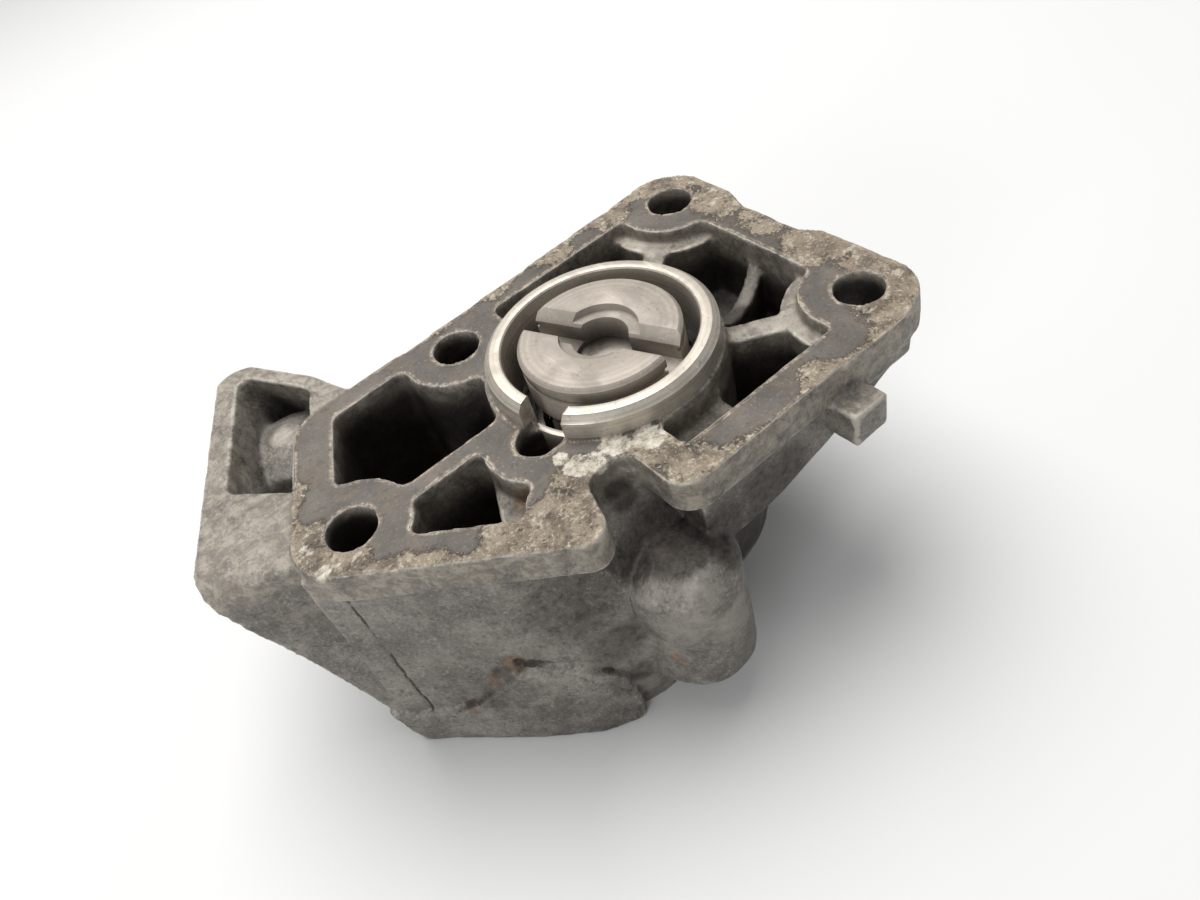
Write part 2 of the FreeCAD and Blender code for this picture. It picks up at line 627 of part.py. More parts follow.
def cut_outlet_dip(body, near):
    """The hollow in the outlet's near side, deepest beside the body, with a crease along its foot."""
    end = -size("body_depth")
    least = size("outlet_dip_least")
    rows = [
        ("body", size("left_edge_reach") - size("wall_inset"), size("outlet_dip_top"), size("outlet_dip"),
         -size("outlet_dip_foot")),
        ("face", size("outlet_reach") - size("outlet_dip_end"), least, least, -size("outlet_dip_foot_end")),
    ]
    sections = []
    for name, reach, top, depth, crease in rows:
        base = crossing(reach, left_edge_normal(), size("diagonal_reach") - size("wall_inset"), near)
        section = sketch_at(body, "outlet_dip_" + name, base, near, Vector(0, 0, 1))
        corners = [Vector(1, 1, 0), Vector(-top, 1, 0), Vector(-depth, crease, 0), Vector(0, end, 0),
                   Vector(1, end, 0)]
        draw(section, Part.Face(Part.makePolygon(corners + corners[:1])))
        section.Visibility = False
        sections.append(section)
    cut = body.newObject("PartDesign::SubtractiveLoft", "outlet_dip")
    cut.Profile = sections[0]
    cut.Sections = [(sections[1], [""])]
    cut.Ruled = True
    cut.Refine = False


def build_outlet(body):
    across, upward = outlet_axes()
    plan = sketch(body, "outlet_plan", "-sizes.outlet_top_drop")
    draw(plan, arm_plan())
    pad(body, plan, "sizes.body_depth - sizes.outlet_top_drop")
    near = heading(size("diagonal_angle") - 90)
    radius = size("outlet_round")
    corner = crossing(size("left_edge_reach"), left_edge_normal(),
                      size("diagonal_reach") - size("wall_inset"), near)
    rounding = sketch_at(body, "outlet_rounding", corner - Vector(0, 0, size("outlet_top_drop")), near,
                         Vector(0, 0, 1))
    bend = Part.Arc(Vector(0, -radius, 0), Vector(-radius, -radius, 0) + heading(45) * radius,
                    Vector(-radius, 0, 0))
    outside = [Vector(-radius, 0, 0), Vector(-radius, 1, 0), Vector(1, 1, 0), Vector(1, -radius, 0),
               Vector(0, -radius, 0)]
    rounding.addGeometry(bend, False)
    for start, end in zip(outside, outside[1:]):
        rounding.addGeometry(Part.LineSegment(start, end), False)
    pocket(body, rounding, "sizes.outlet_reach", up=True)
    cut_outlet_dip(body, near)
    recess = sketch(body, "outlet_recess", "-sizes.outlet_top_drop")
    draw(recess, recess_plan())
    cut = pocket(body, recess, "sizes.pocket_depth")
    cut.UseCustomVector = True
    cut.Direction = -upward
    dome = outlet_point(size("dome_reach"), size("dome_along"))
    radius = size("dome_radius")
    top = -size("dome_top")
    floor = -size("outlet_top_drop") - size("pocket_depth") - 1
    flat = size("ejector_radius") + size("ejector_land")
    bow = []
    for turn in (33, 55, 90):
        lean = math.radians(turn)
        bow.append((radius * math.sin(lean), top - size("dome_height") * (1 - math.cos(lean))))
    column(body, "outlet_dome", dome.x, dome.y, [(0, top), (flat, top)] + bow + [(radius, floor), (0, floor)])
    mark = sketch(body, "ejector_mark", "-sizes.dome_top")
    draw(mark, disc(dome.x, dome.y, size("ejector_radius")))
    pad(body, mark, "sizes.ejector_rise", up=True)
    face = sketch_at(body, "outlet_face", outlet_point(size("outlet_reach"), 0), across, upward)
    draw(face, box_face(-FAR, FAR, -FAR, FAR))
    pocket(body, face, "sizes.outlet_reach", up=True)


# The main casting

def body_plan():
    """The deep left half of the housing, seen from above."""
    inset = size("wall_inset")
    edge = left_edge_normal()
    diagonal = heading(size("diagonal_angle") - 90)
    edge_reach = size("left_edge_reach") - inset
    diagonal_reach = size("diagonal_reach") - inset
    far = size("flange_far") - size("far_dip_left") - inset
    top_left = crossing(edge_reach, edge, far, Vector(0, 1, 0))
    left = crossing(edge_reach, edge, diagonal_reach, diagonal)
    end_x = -size("tube_radius") - 1.5
    diagonal_end = (diagonal_reach - diagonal.x * end_x) / diagonal.y
    middle = size("bolt_middle_x")
    return rounded([
        (middle + size("bolt_boss") - 2, far, 0),
        (top_left.x, top_left.y, size("corner_round") - inset),
        (left.x, left.y, 3.0),
        (end_x, diagonal_end, size("wall_round")),
        (end_x + 5, -8, 0),
        (middle + size("bolt_boss") - 2, -8, 0),
    ])


def foot_plan(grow):
    """The wall's foot beside the near screw boss, seen from above."""
    reach = size("diagonal_reach") - size("wall_inset") - grow
    diagonal = heading(size("diagonal_angle") - 90)
    bend_x = size("foot_bend_x")
    bend_y = (reach - diagonal.x * bend_x) / diagonal.y
    start_x = bend_x - 9
    start_y = (reach - diagonal.x * start_x) / diagonal.y
    near = -size("foot_near") + grow
    return rounded([
        (start_x, start_y, 0),
        (bend_x, min(bend_y, near + size("foot_rise")), 6),
        (bend_x + size("foot_run"), near, 6),
        (-8, near, 0),
        (-8, -6, 0),
        (start_x, -6, 0),
    ])


def right_plan():
    """The shell of the right half, seen from above."""
    outline = flange_outline(size("wall_right"))
    left = size("notch_x") + size("notch_width") / 2 + 4
    return largest(outline.common(box_face(left, FAR, -FAR, FAR)))


def build_right_half(body):
    """The shell under the right half, with its funnel-shaped underside."""
    plan = sketch(body, "right_plan", "-sizes.flange_thick + 1")
    draw(plan, right_plan())
    pad(body, plan, "sizes.oil_depth + sizes.oil_floor - sizes.flange_thick + 1")
    depth = size("near_wall_depth")
    lowest = -size("oil_depth") - size("oil_floor")
    rim = size("funnel_radius")
    rise = depth - size("flange_thick")
    spread = rise / math.tan(math.radians(size("funnel_slope")))
    top = -size("flange_thick")
    tube = size("tube_radius")
    turned(body, "right_underside",
           [(rim + spread, top), (rim, -depth), (tube, lowest), (tube, -FAR / 2), (FAR, -FAR / 2), (FAR, top)],
           "Groove")
    sump = sketch(body, "sump_plan", "-sizes.flange_thick + 1")
    block = right_plan().common(box_face(size("oil_left_x") - size("oil_floor"), size("sump_right")
                                         + size("oil_floor"), size("sump_near") - size("oil_floor"), FAR))
    draw(sump, softened(largest(block), size("cavity_round")))
    pad(body, sump, "sizes.oil_depth + sizes.oil_floor - sizes.flange_thick + 1")


def build_tube(body):
    """The central tube, the rear neck and the spigot, as one turned form."""
    tube = size("tube_radius")
    bottom = -size("tube_bottom")
    edge = size("tube_edge")
    neck = size("neck_radius")
    end = -size("body_depth")
    lead = size("spigot_lead")
    rise = size("spigot_rise")
    spigot = size("spigot_radius")
    base = size("spigot_base")
    turned(body, "central_tube", [
        (0, rise), (spigot - lead, rise), (spigot, rise - lead), (spigot, 0), (base, 0),
        (base, -size("flange_thick") / 2), (tube, -size("flange_thick")),
        (tube, bottom + edge), (tube - edge * 0.3, bottom + edge * 0.3), (tube - edge, bottom),
        (neck, bottom), (neck, end + 1), (neck - 1, end), (0, end)])


def screw_places():
    """The two screw bosses, opposite each other."""
    near = heading(size("screw_angle")) * size("screw_circle")
    return [("near", near), ("far", near * -1)]


def build_screw_bosses(body):
    radius = size("screw_boss_radius")
    top = -size("screw_boss_top")
    shoulder = size("screw_boss_shoulder")
    edge = size("screw_boss_edge")
    end = -size("screw_boss_end")
    profile = [(0, top), (radius - shoulder, top), (radius - shoulder * 0.3, top - shoulder * 0.5),
               (radius, top - shoulder), (radius, end + edge), (radius - edge * 0.35, end + edge * 0.35),
               (radius - edge, end), (0, end)]
    for name, place in screw_places():
        column(body, "screw_boss_" + name, place.x, place.y, profile)
        web = sketch(body, "screw_web_" + name, "-sizes.screw_boss_top - sizes.screw_boss_shoulder")
        draw(web, band(Vector(), place, size("screw_boss_radius") * 1.7))
        pad(body, web, "sizes.tube_bottom - sizes.tube_edge - sizes.screw_boss_top"
                       " - sizes.screw_boss_shoulder")


def build_casting(body):
    build_right_half(body)
    build_outlet(body)
    plate = sketch(body, "flange")
    draw(plate, flange_outline())
    pad(body, plate, "sizes.flange_thick")
    build_tube(body)
    plan = sketch(body, "left_body", "-sizes.flange_thick + 1")
    draw(plan, body_plan())
    pad(body, plan, "sizes.body_depth - sizes.flange_thick + 1")
    slope = body.newObject("PartDesign::AdditiveLoft", "foot_slope")
    upper = sketch(body, "foot_upper", "-sizes.flange_thick")
    draw(upper, foot_plan(6))
    lower = sketch(body, "foot_lower", "-sizes.screw_boss_top - sizes.screw_boss_shoulder")
    draw(lower, foot_plan(0))
    slope.Profile = upper
    slope.Sections = [(lower, [""])]
    slope.Ruled = True
    slope.Refine = False
    foot = sketch(body, "foot", "-sizes.screw_boss_top - sizes.screw_boss_shoulder")
    draw(foot, foot_plan(0))
    pad(body, foot, "sizes.body_depth - sizes.screw_boss_top - sizes.screw_boss_shoulder")
    build_screw_bosses(body)
    build_lip(body)
    build_near_edge(body)


def lip_section(body, name, place, outward, height, out):
    """The lip's outline at one place along the wall, with a step at its top."""
    section = sketch_at(body, name, place + Vector(0, 0, -size("body_depth")), outward, Vector(0, 0, 1))
    root = -size("lip_root")
    corners = [Vector(root, 0, 0), Vector(out, 0, 0), Vector(out * 0.8, height - size("lip_step"), 0),
               Vector(-0.3, height, 0), Vector(root, height, 0)]
    draw(section, Part.Face(Part.makePolygon(corners + corners[:1])))
    section.Visibility = False
    return section


def build_lip(body):
    """The thickened lip along the near wall's foot, which swells to a peak."""
    near = heading(size("diagonal_angle") - 90)
    along = heading(size("diagonal_angle"))
    left = crossing(size("left_edge_reach") - size("wall_inset"), left_edge_normal(),
                    size("diagonal_reach") - size("wall_inset"), near)
    out = size("lip_out")
    slope = size("foot_rise") / size("foot_run")
    foot_end_x = size("foot_bend_x") + size("foot_run")
    end_x = size("lip_end_x")
    end_place = Vector(end_x, -size("foot_near") + (foot_end_x - end_x) * slope, 0)
    end_outward = heading(-90 - math.degrees(math.atan(slope)))
    start = left + along * size("lip_start")
    peak = left + along * size("lip_peak")
    bend = left + along * size("lip_bend")
    sections = [
        lip_section(body, "lip_start", start, near, size("lip_height_start"), size("lip_out_start")),
        lip_section(body, "lip_peak", peak, near, size("lip_height"), out),
        lip_section(body, "lip_bend", bend, near, size("lip_height_bend"), out),
        lip_section(body, "lip_end", end_place, end_outward, size("lip_height_end"), out),
    ]
    lip = body.newObject("PartDesign::AdditiveLoft", "lip")
    lip.Profile = sections[0]
    lip.Sections = [(section, [""]) for section in sections[1:]]
    lip.Ruled = True
    lip.Refine = False


def build_near_edge(body):
    """The lug and the thicker stretch of the near edge."""
    lug = sketch(body, "lug", "-sizes.lug_top")
    near = -size("flange_near")
    left = size("lug_left")
    draw(lug, box_face(left, left + size("lug_width"), near - size("lug_reach"), near + 3))
    pad(body, lug, "sizes.lug_thick")
    proud = sketch(body, "proud_edge")
    right = size("bolt_right_x")
    out = size("proud_pad_out")
    draw(proud, box_face(size("proud_pad_x"), right, near - out, near + 3))
    pad(body, proud, "sizes.proud_pad_thick")


def build_bolt_bosses(body):
    """The columns that the right bolts clamp."""
    for side, name in ((1, "far"), (-1, "near")):
        boss = sketch(body, "bolt_boss_" + name, "-sizes.flange_thick + 1")
        face = disc(size("bolt_right_x"), side * size("bolt_right_y"), size("bolt_boss") - 2.4)
        draw(boss, face)
        pad(body, boss, "sizes.bolt_grip - sizes.flange_thick + 1")


def cut_oil_cavity(body):
    """The cavity round the spigot, with ledges, ribs and shelves left standing."""
    region = oil_region()
    shelf = box_face(-FAR, size("oil_shelf_x"), -FAR, 0)
    first = sketch(body, "oil_top")
    draw(first, region)
    pocket(body, first, "sizes.boss_ledge")
    ledges = region
    for side in (1, -1):
        place = (size("bolt_right_x"), side * size("bolt_right_y"))
        ledges = ledges.cut(disc(place[0], place[1], size("boss_ledge_radius")))
    ledges = largest(ledges)
    shallow = sketch(body, "oil_shelf")
    draw(shallow, largest(ledges.common(shelf)))
    pocket(body, shallow, "sizes.oil_shelf")
    upper = sketch(body, "oil_upper")
    draw(upper, largest(ledges.cut(shelf)))
    pocket(body, upper, "sizes.web_top")
    wells = ledges.cut(shelf)
    for side in (1, -1):
        tip = Vector(size("bolt_right_x"), side * size("bolt_right_y"), 0)
        wells = wells.cut(band(tip * 0.2, tip, size("web_thick")))
    round_by = size("cavity_round") * 0.7
    deep_window = box_face(-FAR, size("sump_right"), size("sump_near"), FAR)
    shapes = sorted(wells.Faces, key=lambda face: face.CenterOfMass.y)
    for index, face in enumerate(shapes):
        if face.Area < 30:
            continue
        well = sketch(body, "oil_well_%d" % index)
        draw(well, softened(face, round_by))
        pocket(body, well, "sizes.oil_depth_near")
        throat = sketch(body, "oil_throat_%d" % index)
        draw(throat, softened(largest(face.common(disc(0, 0, size("oil_throat_radius")))), round_by))
        pocket(body, throat, "sizes.oil_throat_depth")
        if face.CenterOfMass.y > size("sump_near"):
            deep = sketch(body, "oil_sump_%d" % index)
            draw(deep, softened(largest(face.common(deep_window)), round_by))
            pocket(body, deep, "sizes.oil_depth")


def build_scallop(body):
    """The rib with a scooped top between the spigot and the right wall."""
    foot = Vector(size("spigot_radius") - 1, size("scallop_near"), 0)
    tip = Vector(size("flange_right") - size("rim_width_right") + 1, size("scallop_far"), 0)
    along = (tip - foot).normalize()
    side = along.cross(Vector(0, 0, 1))
    end = foot.distanceToPoint(tip)
    profile = sketch_at(body, "scalloped_rib", foot + side * (size("scallop_thick") / 2), along, Vector(0, 0, 1))
    top = -size("boss_ledge") - 0.5
    floor = -size("oil_depth") - 1
    deepest = top - size("scallop_scoop")
    profile.addGeometry(Part.LineSegment(Vector(0, top, 0), Vector(0, floor, 0)), False)
    profile.addGeometry(Part.LineSegment(Vector(0, floor, 0), Vector(end, floor, 0)), False)
    profile.addGeometry(Part.LineSegment(Vector(end, floor, 0), Vector(end, top, 0)), False)
    profile.addGeometry(Part.Arc(Vector(end, top, 0), Vector(end / 2, deepest, 0), Vector(0, top, 0)), False)
    pad(body, profile, "sizes.scallop_thick", up=False)


def cut_left_cavities(body):
    coolant = sketch(body, "coolant_cavity")
    draw(coolant, coolant_region())
    pocket(body, coolant, "sizes.coolant_depth")
    region = relief_region()
    shelf = sketch(body, "relief_shelf")
    draw(shelf, region)
    pocket(body, shelf, "sizes.relief_shelf")
    shelf_x = size("relief_shelf_x")
    lean = size("relief_shelf_lean")
    reach = size("flange_near")
    edge = [Vector(-FAR, -reach, 0), Vector(shelf_x - lean, -reach, 0), Vector(shelf_x + lean, reach, 0),
            Vector(-FAR, reach, 0)]
    window = Part.Face(Part.makePolygon(edge + edge[:1]))
    deep = sketch(body, "relief_well")
    draw(deep, softened(largest(region.common(window)), 1.2))
    pocket(body, deep, "sizes.relief_depth")


def cut_bore(body):
    """The stepped bore, from the mouth to the rear seal's seat."""
    rise = size("spigot_rise")
    mouth = size("mouth_radius")
    seat = size("seat_radius")
    step = -size("mouth_depth")
    groove_top = size("groove_top")
    groove_foot = size("groove_foot")
    groove = seat + size("bore_groove_depth")
    shoulder = size("shoulder_top")
    back = size("seal_top")
    seal = size("seal_outer") / 2 + size("fit_clearance")
    lead = size("seal_lead")
    end = -size("body_depth")
    turned(body, "bore", [
        (0, rise + 1), (mouth, rise + 1), (mouth, step), (seat, step - 0.5), (seat, groove_top),
        (groove, groove_top), (groove, groove_foot), (seat, groove_foot), (seat, shoulder),
        (size("shoulder_bore"), shoulder), (size("shoulder_bore"), back), (seal, back),
        (seal, end + lead), (seal + lead, end), (seal + lead, end - 1), (0, end - 1)], "Groove")


def cut_register(body):
    """The recess round the neck and the O-ring's groove in it."""
    neck = size("neck_radius")
    outer = size("register_radius")
    end = -size("body_depth")
    top = end + size("register_depth")
    middle = end + size("o_ring_from_end")
    half = size("o_ring_groove_width") / 2
    floor = neck - size("o_ring_groove_depth")
    turned(body, "neck_recess", [
        (neck, end - 1), (neck, middle - half), (floor, middle - half), (floor, middle + half),
        (neck, middle + half), (neck, top), (outer, top), (outer, end - 1)], "Groove")


def cut_drain(body):
    slot = sketch(body, "drain_slot", "sizes.spigot_rise + 1")
    direction = heading(size("drain_slot_angle"))
    hole = Vector(size("drain_hole_x"), size("drain_hole_y"), 0)
    draw(slot, band(direction * size("mouth_radius") * 0.9, hole, size("drain_slot_width")))
    pocket(body, slot, "sizes.spigot_rise + 1 + sizes.drain_slot_depth")
    drain = sketch(body, "drain_hole")
    circle(drain, "sizes.drain_hole_x", "sizes.drain_hole_y", "sizes.drain_hole / 2")
    pocket(body, drain, "sizes.drain_hole_depth")


def cut_holes(body):
    bolts = sketch(body, "bolt_holes")
    for x, y in (("sizes.bolt_right_x", "sizes.bolt_right_y"), ("sizes.bolt_right_x", "-sizes.bolt_right_y"),
                 ("sizes.bolt_middle_x", "sizes.bolt_middle_y"), ("sizes.bolt_left_x", "sizes.bolt_left_y")):
        circle(bolts, x, y, "sizes.bolt_clearance / 2")
    pocket(body, bolts, "sizes.body_depth + 2")
    screws = sketch(body, "screw_holes", "-sizes.screw_boss_end")
    for _, place in screw_places():
        draw(screws, disc(place.x, place.y, size("screw_thread") / 2 + size("insert_wall")))
    pocket(body, screws, "sizes.screw_depth + 2", up=True)
    across, upward = outlet_axes()
    centre = outlet_frame_point(size("port_along"), size("port_down"))
    port = sketch_at(body, "port", centre, across, upward)
    draw(port, disc(0, 0, size("port_radius")))
    pocket(body, port, "sizes.outlet_reach - sizes.left_edge_reach + sizes.rim_width + 2")
    screw = sketch_at(body, "port_screws", centre, across, upward)
    for turn in (0, 180):
        place = heading(size("port_screw_angle") + turn) * size("port_screw_reach")
        draw(screw, disc(place.x, place.y, size("port_screw") / 2))
    pocket(body, screw, "sizes.port_screw_depth")


def build_housing():
    body = doc.addObject("PartDesign::Body", "housing")
    build_casting(body)
    cut_left_cavities(body)
    cut_oil_cavity(body)
    build_scallop(body)
    build_bolt_bosses(body)
    cut_bore(body)
    cut_register(body)
    cut_drain(body)
    cut_holes(body)
    body.Tip.Refine = True
    return body


# The running gear

def new_body(name):
    return doc.addObject("PartDesign::Body", name)


def ring_points(inner, outer, top, foot, edge):
    """The section of a ring with a small chamfer on its outer corners."""
    return [(inner, top), (outer - edge, top), (outer, top - edge), (outer, foot + edge), (outer - edge, foot),
            (inner, foot)]


def hoop(body, name, radius, height, wire, kind="Revolution"):
    """A round wire bent into a ring, or the groove that it lies in."""
    drawing = sketch(body, name, role="XZ_Plane")
    circle(drawing, radius, height, wire)
    feature = body.newObject("PartDesign::" + kind, name + "_turned")
    feature.Profile = drawing
    feature.ReferenceAxis = (drawing, ["V_Axis"])
    feature.Angle = 360
    drawing.Visibility = False
    return feature


def repeated(body, feature):
    """Repeat a feature once for each ball."""
    pattern = body.newObject("PartDesign::PolarPattern", feature.Name + "_pattern")
    pattern.Originals = [feature]
    pattern.Axis = (origin_plane(body, "Z_Axis"), [""])
    pattern.Angle = 360
    pattern.setExpression("Occurrences", "sizes.ball_count")
    body.Tip = pattern
    return pattern


def build_bearing(which):
    """One ball bearing: two races, the balls and their cage."""
    top = size(which + "_bearing_top")
    end = size(which + "_bearing_end")
    middle = "places.%s_bearing_top - sizes.bearing_width / 2" % which
    outer_radius = size("bearing_outer") / 2
    inner_radius = size("bearing_bore") / 2
    edge = 0.5
    outer = new_body(which + "_bearing_outer_race")
    turned(outer, which + "_outer_section",
           ring_points(outer_radius - size("outer_race_wall"), outer_radius, top, end, edge))
    hoop(outer, which + "_outer_track", "places.ball_circle", middle, "places.ball_room", "Groove")
    inner = new_body(which + "_bearing_inner_race")
    turned(inner, which + "_inner_section",
           ring_points(inner_radius, inner_radius + size("inner_race_wall"), top, end, edge))
    hoop(inner, which + "_inner_track", "places.ball_circle", middle, "places.ball_room", "Groove")
    balls = new_body(which + "_bearing_balls")
    ball = balls.newObject("PartDesign::AdditiveSphere", which + "_ball")
    ball.setExpression("Radius", "sizes.ball_diameter / 2")
    ball.setExpression("AttachmentOffset.Base.y", "places.ball_circle")
    ball.setExpression("AttachmentOffset.Base.z", middle)
    ball.AttachmentSupport = [(origin_plane(balls), "")]
    ball.MapMode = "FlatFace"
    repeated(balls, ball)
    cage = new_body(which + "_bearing_cage")
    wall = size("cage_wall") / 2
    centre = size("ball_circle")
    half = size("cage_width") / 2
    height = (top + end) / 2
    turned(cage, which + "_cage_section",
           ring_points(centre - wall, centre + wall, height + half, height - half, 0.2))
    hole = sketch(cage, which + "_cage_pocket", role="XZ_Plane")
    circle(hole, "0", middle, "places.ball_room")
    repeated(cage, pocket(cage, hole, "sizes.bearing_outer"))
    return [outer, inner, balls, cage]


def build_shaft():
    """The drive shaft with its circlip groove, pin hole and slotted rear end."""
    body = new_body("drive_shaft")
    radius = size("shaft_radius")
    top = size("shaft_top")
    end = size("shaft_end")
    lead = size("shaft_chamfer")
    groove = size("rear_bearing_end")
    groove_end = groove - size("shaft_circlip_thick") - 2 * size("circlip_play")
    floor = radius - size("shaft_groove_depth")
    turned(body, "shaft_section", [
        (0, top), (radius - lead, top), (radius, top - lead), (radius, groove), (floor, groove),
        (floor, groove_end), (radius, groove_end), (radius, end + lead), (radius - lead, end), (0, end)])
    slot = sketch(body, "shaft_slot", "places.shaft_end")
    half = size("shaft_slot_width") / 2
    draw(slot, box_face(-radius - 1, radius + 1, -half, half))
    pocket(body, slot, "sizes.shaft_slot_depth", up=True)
    cut_pin_hole(body)
    return body


def pin_sketch(body, name):
    """A sketch across the pin, on the shaft's axis."""
    across = heading(size("drive_slot_angle"))
    return sketch_at(body, name, Vector(0, 0, -size("pin_depth")), across, Vector(0, 0, 1))


def cut_pin_hole(body):
    hole = pin_sketch(body, body.Name + "_pin_hole")
    draw(hole, disc(0, 0, size("pin_diameter") / 2 + size("fit_clearance")))
    cut = pocket(body, hole, "sizes.coupling_hub_radius * 3")
    cut.Midplane = True


def build_pin():
    """The slotted roll pin."""
    body = new_body("coupling_pin")
    radius = size("pin_diameter") / 2
    slit = size("pin_slit") / 2
    section = disc(0, 0, radius).cut(disc(0, 0, size("pin_bore") / 2)).cut(box_face(-slit, slit, 0, radius + 1))
    drawing = pin_sketch(body, "pin_section")
    draw(drawing, largest(section))
    pin = pad(body, drawing, "2 * sizes.coupling_hub_radius - sizes.pin_short")
    pin.Midplane = True
    return body


def build_coupling():
    """The slotted disc and its hub."""
    body = new_body("drive_coupling")
    rise = size("coupling_rise")
    outer = size("coupling_radius")
    edge = size("coupling_edge")
    back = rise - size("coupling_thick")
    groove = rise - size("coupling_band")
    groove_end = groove - size("coupling_groove_width")
    groove_floor = outer - size("coupling_groove")
    hub = size("coupling_hub_radius")
    foot = size("front_bearing_top")
    hole = size("coupling_hole_radius")
    recess = size("coupling_recess_radius")
    step = rise - size("coupling_recess_depth")
    shaft_bore = size("bearing_bore") / 2
    turned(body, "coupling_section", [
        (shaft_bore, foot), (hub - edge, foot), (hub, foot + edge), (hub, back), (outer - edge / 2, back),
        (outer, back + edge / 2), (outer, groove_end), (groove_floor, groove_end), (groove_floor, groove),
        (outer, groove), (outer, rise - edge), (outer - edge, rise), (recess, rise), (recess, step),
        (hole, step), (hole, size("shaft_top")), (shaft_bore, size("shaft_top"))])
    along = heading(size("drive_slot_angle"))
    side = heading(size("drive_slot_angle") - 90)
    middle = side * -size("drive_slot_offset")
    slot = sketch(body, "drive_slot", "sizes.coupling_rise")
    draw(slot, band(middle - along * (outer + 2), middle + along * (outer + 2), size("drive_slot_width")))
    pocket(body, slot, "sizes.drive_slot_depth")
    edge_place = middle + side * (size("drive_slot_width") / 2) + Vector(0, 0, rise)
    lead = size("drive_slot_lead")
    chamfer = sketch_at(body, "slot_chamfer", edge_place, side, Vector(0, 0, 1))
    corners = [Vector(-1, 1, 0), Vector(lead + 1, 1, 0), Vector(-1, -lead - 1, 0)]
    draw(chamfer, Part.Face(Part.makePolygon(corners + corners[:1])))
    cut = pocket(body, chamfer, "sizes.coupling_radius * 3")
    cut.Midplane = True
    cut_pin_hole(body)
    return body


def build_spacer():
    body = new_body("bearing_spacer")
    bore = size("bearing_bore") / 2
    turned(body, "spacer_section", ring_points(bore, bore + size("spacer_wall"), size("front_bearing_end"),
                                               size("rear_bearing_top"), 0.3))
    return body


def circlip_face(inner, outer, eye_circle):
    """A ring with an opening between two eyes."""
    opening = size("circlip_opening") / 2
    gap = [Vector(0, 0, 0), heading(-opening) * FAR, heading(opening) * FAR]
    face = disc(0, 0, outer).cut(disc(0, 0, inner)).cut(Part.Face(Part.makePolygon(gap + gap[:1])))
    eye = size("circlip_eye")
    turn = opening + math.degrees(eye / eye_circle)
    for side in (1, -1):
        place = heading(side * turn) * eye_circle
        face = face.fuse(disc(place.x, place.y, eye)).removeSplitter()
    for side in (1, -1):
        place = heading(side * turn) * eye_circle
        face = face.cut(disc(place.x, place.y, size("circlip_eye_hole")))
    return largest(face)


def build_circlips():
    """The circlip over the front bearing and the one on the shaft."""
    bore_ring = new_body("bore_circlip")
    play = size("circlip_play")
    outer = size("seat_radius") + size("bore_groove_depth") - play
    inner = outer - size("bore_circlip_width")
    drawing = sketch(bore_ring, "bore_circlip_ring", "places.groove_top - sizes.circlip_play")
    draw(drawing, circlip_face(inner, outer, inner + 0.2))
    pad(bore_ring, drawing, "sizes.bore_circlip_thick")
    shaft_ring = new_body("shaft_circlip")
    inner = size("shaft_radius") - size("shaft_groove_depth") + play
    outer = inner + size("shaft_circlip_width")
    drawing = sketch(shaft_ring, "shaft_circlip_ring", "places.rear_bearing_end - sizes.circlip_play")
    draw(drawing, circlip_face(inner, outer, outer - 0.2))
    pad(shaft_ring, drawing, "sizes.shaft_circlip_thick")
    return [bore_ring, shaft_ring]


def build_preload_washer():
    """The disc spring that loads the rear bearing."""
    body = new_body("preload_washer")
    inner = size("preload_inner")
    outer = size("bearing_outer") / 2 - 0.2
    metal = size("preload_metal")
    top = size("rear_bearing_end")
    foot = size("shoulder_top")
    turned(body, "preload_section", [(inner, foot), (inner, foot + metal), (outer, top), (outer, top - metal)])
    return body


def build_seal():
    """The shaft seal: case, rubber lip and garter spring."""
    top = size("seal_top")
    end = size("seal_end")
    outer = size("seal_outer") / 2
    wall = size("seal_case_wall")
    contact = size("shaft_radius") + size("seal_contact")
    garter = size("garter_radius")
    case = new_body("seal_case")
    turned(case, "seal_case_section", [
        (outer, top), (outer, end), (garter, end), (garter, end + wall), (outer - wall, end + wall),
        (outer - wall, top)])
    lip = new_body("seal_lip")
    head = top - size("seal_head")
    edge = head - 1.1
    inner = contact + size("seal_lip_width")
    turned(lip, "seal_lip_section", [
        (garter, end), (inner, end), (contact, end + 0.7), (inner, end + 1.1),
        (inner, edge - 1.6), (contact, edge), (inner, head), (garter, head),
        (garter, head - 2), (garter - 0.6, head - 2.4), (garter - 0.6, end + wall), (garter, end + wall)])
    spring_height = "places.seal_top - sizes.garter_depth"
    hoop(lip, "seal_lip_groove", "sizes.garter_radius", spring_height, "sizes.garter_wire / 2", "Groove")
    spring = new_body("seal_spring")
    hoop(spring, "seal_spring_wire", "sizes.garter_radius", spring_height, "sizes.garter_wire / 2")
    return [case, lip, spring]


def build_o_ring():
    body = new_body("neck_o_ring")
    hoop(body, "o_ring_wire_section", "sizes.neck_radius - sizes.o_ring_groove_depth + sizes.o_ring_wire / 2",
         "sizes.o_ring_from_end - sizes.body_depth", "sizes.o_ring_wire / 2")
    return body


def build_inserts():
    """The threaded inserts of both screw bosses."""
    body = new_body("screw_inserts")
    drawing = sketch(body, "insert_rings", "-sizes.screw_boss_end")
    for _, place in screw_places():
        radius = size("screw_thread") / 2
        draw(drawing, disc(place.x, place.y, radius + size("insert_wall")), disc(place.x, place.y, radius))
    pad(body, drawing, "sizes.screw_depth", up=True)
    return body


# Put together, check and write the pieces

def build_all():
    pieces = [build_housing(), build_coupling(), build_pin(), build_shaft()]
    pieces += build_bearing("front") + build_bearing("rear")
    pieces += [build_spacer()] + build_circlips() + [build_preload_washer()]
    pieces += build_seal() + [build_o_ring(), build_inserts()]
    return pieces


